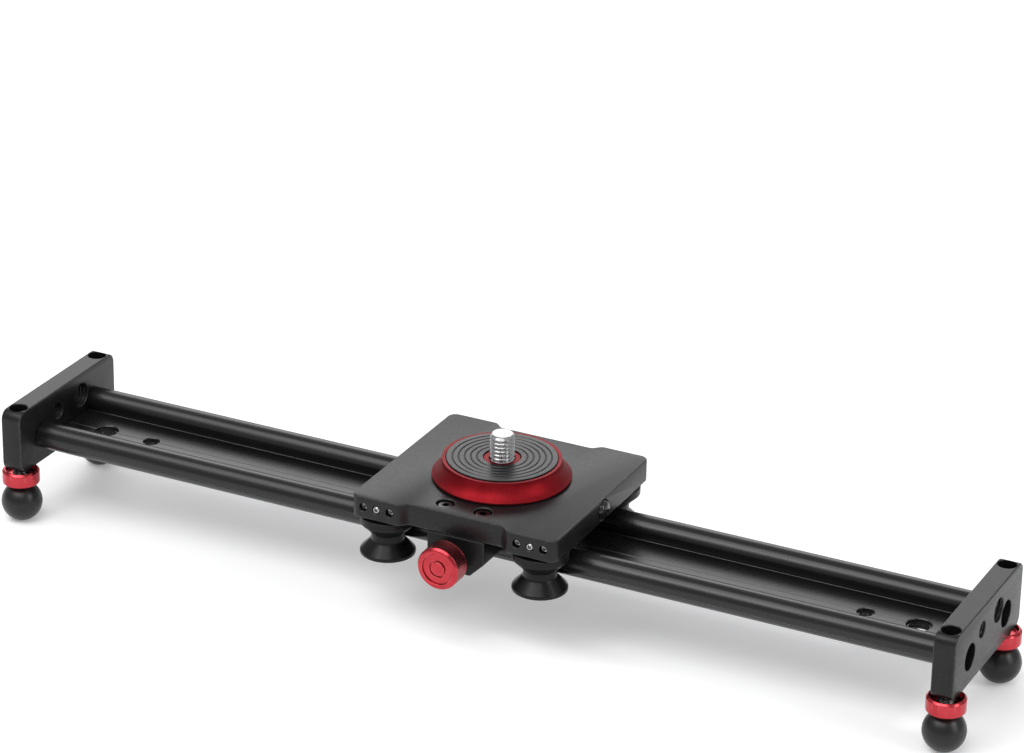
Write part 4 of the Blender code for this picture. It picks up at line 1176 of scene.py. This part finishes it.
def build_mount_stud(place):
    low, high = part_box("mount_stud")
    head = radius_of("mount_stud")
    neck = low.z + MOUNT_HEAD_LENGTH
    bm = bmesh.new()
    lathe(bm, [(0.0, low.z, 0.0), (head, low.z, 0.3 * MM), (head, neck, 0.2 * MM),
               (ROOT_SHARE * MOUNT_STUD_RADIUS, neck, 0.0), (0.0, neck, 0.0)], ROUND, place)
    item = raw_object("mount_stud_detail", bm, Vector((place.x, 0.0, low.z)))
    cutters = bmesh.new()
    hexagon(cutters, MOUNT_SOCKET, (place.x, 0.0, low.z), "-Z")
    carve(item, cutters)
    finish_piece(item, STEEL["Z"], "carriage", ["mount_stud"])
    bm = bmesh.new()
    thread(bm, MOUNT_STUD_RADIUS, MOUNT_PITCH, neck + THREAD_GAP, high.z, place, steps=ROUND)
    thread_item = raw_object("mount_stud_thread", bm, Vector((place.x, 0.0, high.z)))
    finish_piece(thread_item, STEEL["Z"], "carriage")


# -------- studio

def aim_at(item, target):
    item.rotation_euler = (Vector(target) - item.location).to_track_quat("-Z", "Y").to_euler()


def softbox(name, location, target, width, height, radiance):
    """A rectangular lamp whose face shines with a given radiance."""
    lamp = bpy.data.lights.new(name, "AREA")
    lamp.shape = "RECTANGLE"
    lamp.size = width
    lamp.size_y = height
    lamp.energy = radiance * math.pi * width * height
    item = bpy.data.objects.new(name, lamp)
    item.location = location
    bpy.context.scene.collection.objects.link(item)
    aim_at(item, target)
    item.visible_camera = False


def build_studio():
    world = bpy.data.worlds.new("studio")
    world.use_nodes = True
    background = world.node_tree.nodes["Background"]
    background.inputs["Color"].default_value = SKY_COLOUR
    background.inputs["Strength"].default_value = SKY_STRENGTH
    bpy.context.scene.world = world
    for lamp in LAMPS:
        softbox(*lamp)
    bm = bmesh.new()
    bmesh.ops.create_grid(bm, x_segments=1, y_segments=1, size=FLOOR_HALF_SIZE)
    floor = raw_object("floor", bm, (0.0, 0.0, 0.0))
    graph = Graph("pale_floor")
    mottle = graph.spread(graph.noise(graph.place(), 3.0, 2.0), 0.0, 1.0)
    graph.surface(graph.mix(mottle, grey(0.86), grey(0.88)), 0.85, COATED, 1.3)
    graph.shader.inputs["Emission Color"].default_value = (1.0, 1.0, 1.0, 1.0)
    graph.shader.inputs["Emission Strength"].default_value = FLOOR_GLOW
    floor.data.materials.append(graph.material)


def build_camera():
    back = Vector((math.sin(AZIMUTH) * math.cos(ELEVATION),
                   -math.cos(AZIMUTH) * math.cos(ELEVATION), math.sin(ELEVATION)))
    level = Vector((math.cos(AZIMUTH), math.sin(AZIMUTH), 0.0))
    upright = back.cross(level)
    right = level * math.cos(ROLL) + upright * math.sin(ROLL)
    up = back.cross(right)
    camera = bpy.data.objects.new("camera", bpy.data.cameras.new("camera"))
    camera.data.sensor_width = SENSOR
    camera.data.lens = LENS
    camera.data.clip_start = 0.01
    camera.matrix_world = Matrix((right, up, back)).transposed().to_4x4()
    camera.location = AIM + back * DISTANCE
    bpy.context.scene.collection.objects.link(camera)
    bpy.context.scene.camera = camera


def build_object():
    build_rail()
    build_plate()
    build_brake()
    build_head_mount()
    for end, column in ENDS:
        build_end_block(end, column)
        build_bumper(end, column)
        build_clamp_screw(column)
        for side, row in SIDES:
            build_rail_bolt(end, column, side, row)
            build_foot(column, row)
            build_roller(column, row)
            for letter in "abc":
                build_set_screw(f"set_screw_{row}_{column}_{letter}", side)


build_camera()
build_studio()
build_object()
bpy.context.scene.view_settings.view_transform = "Standard"
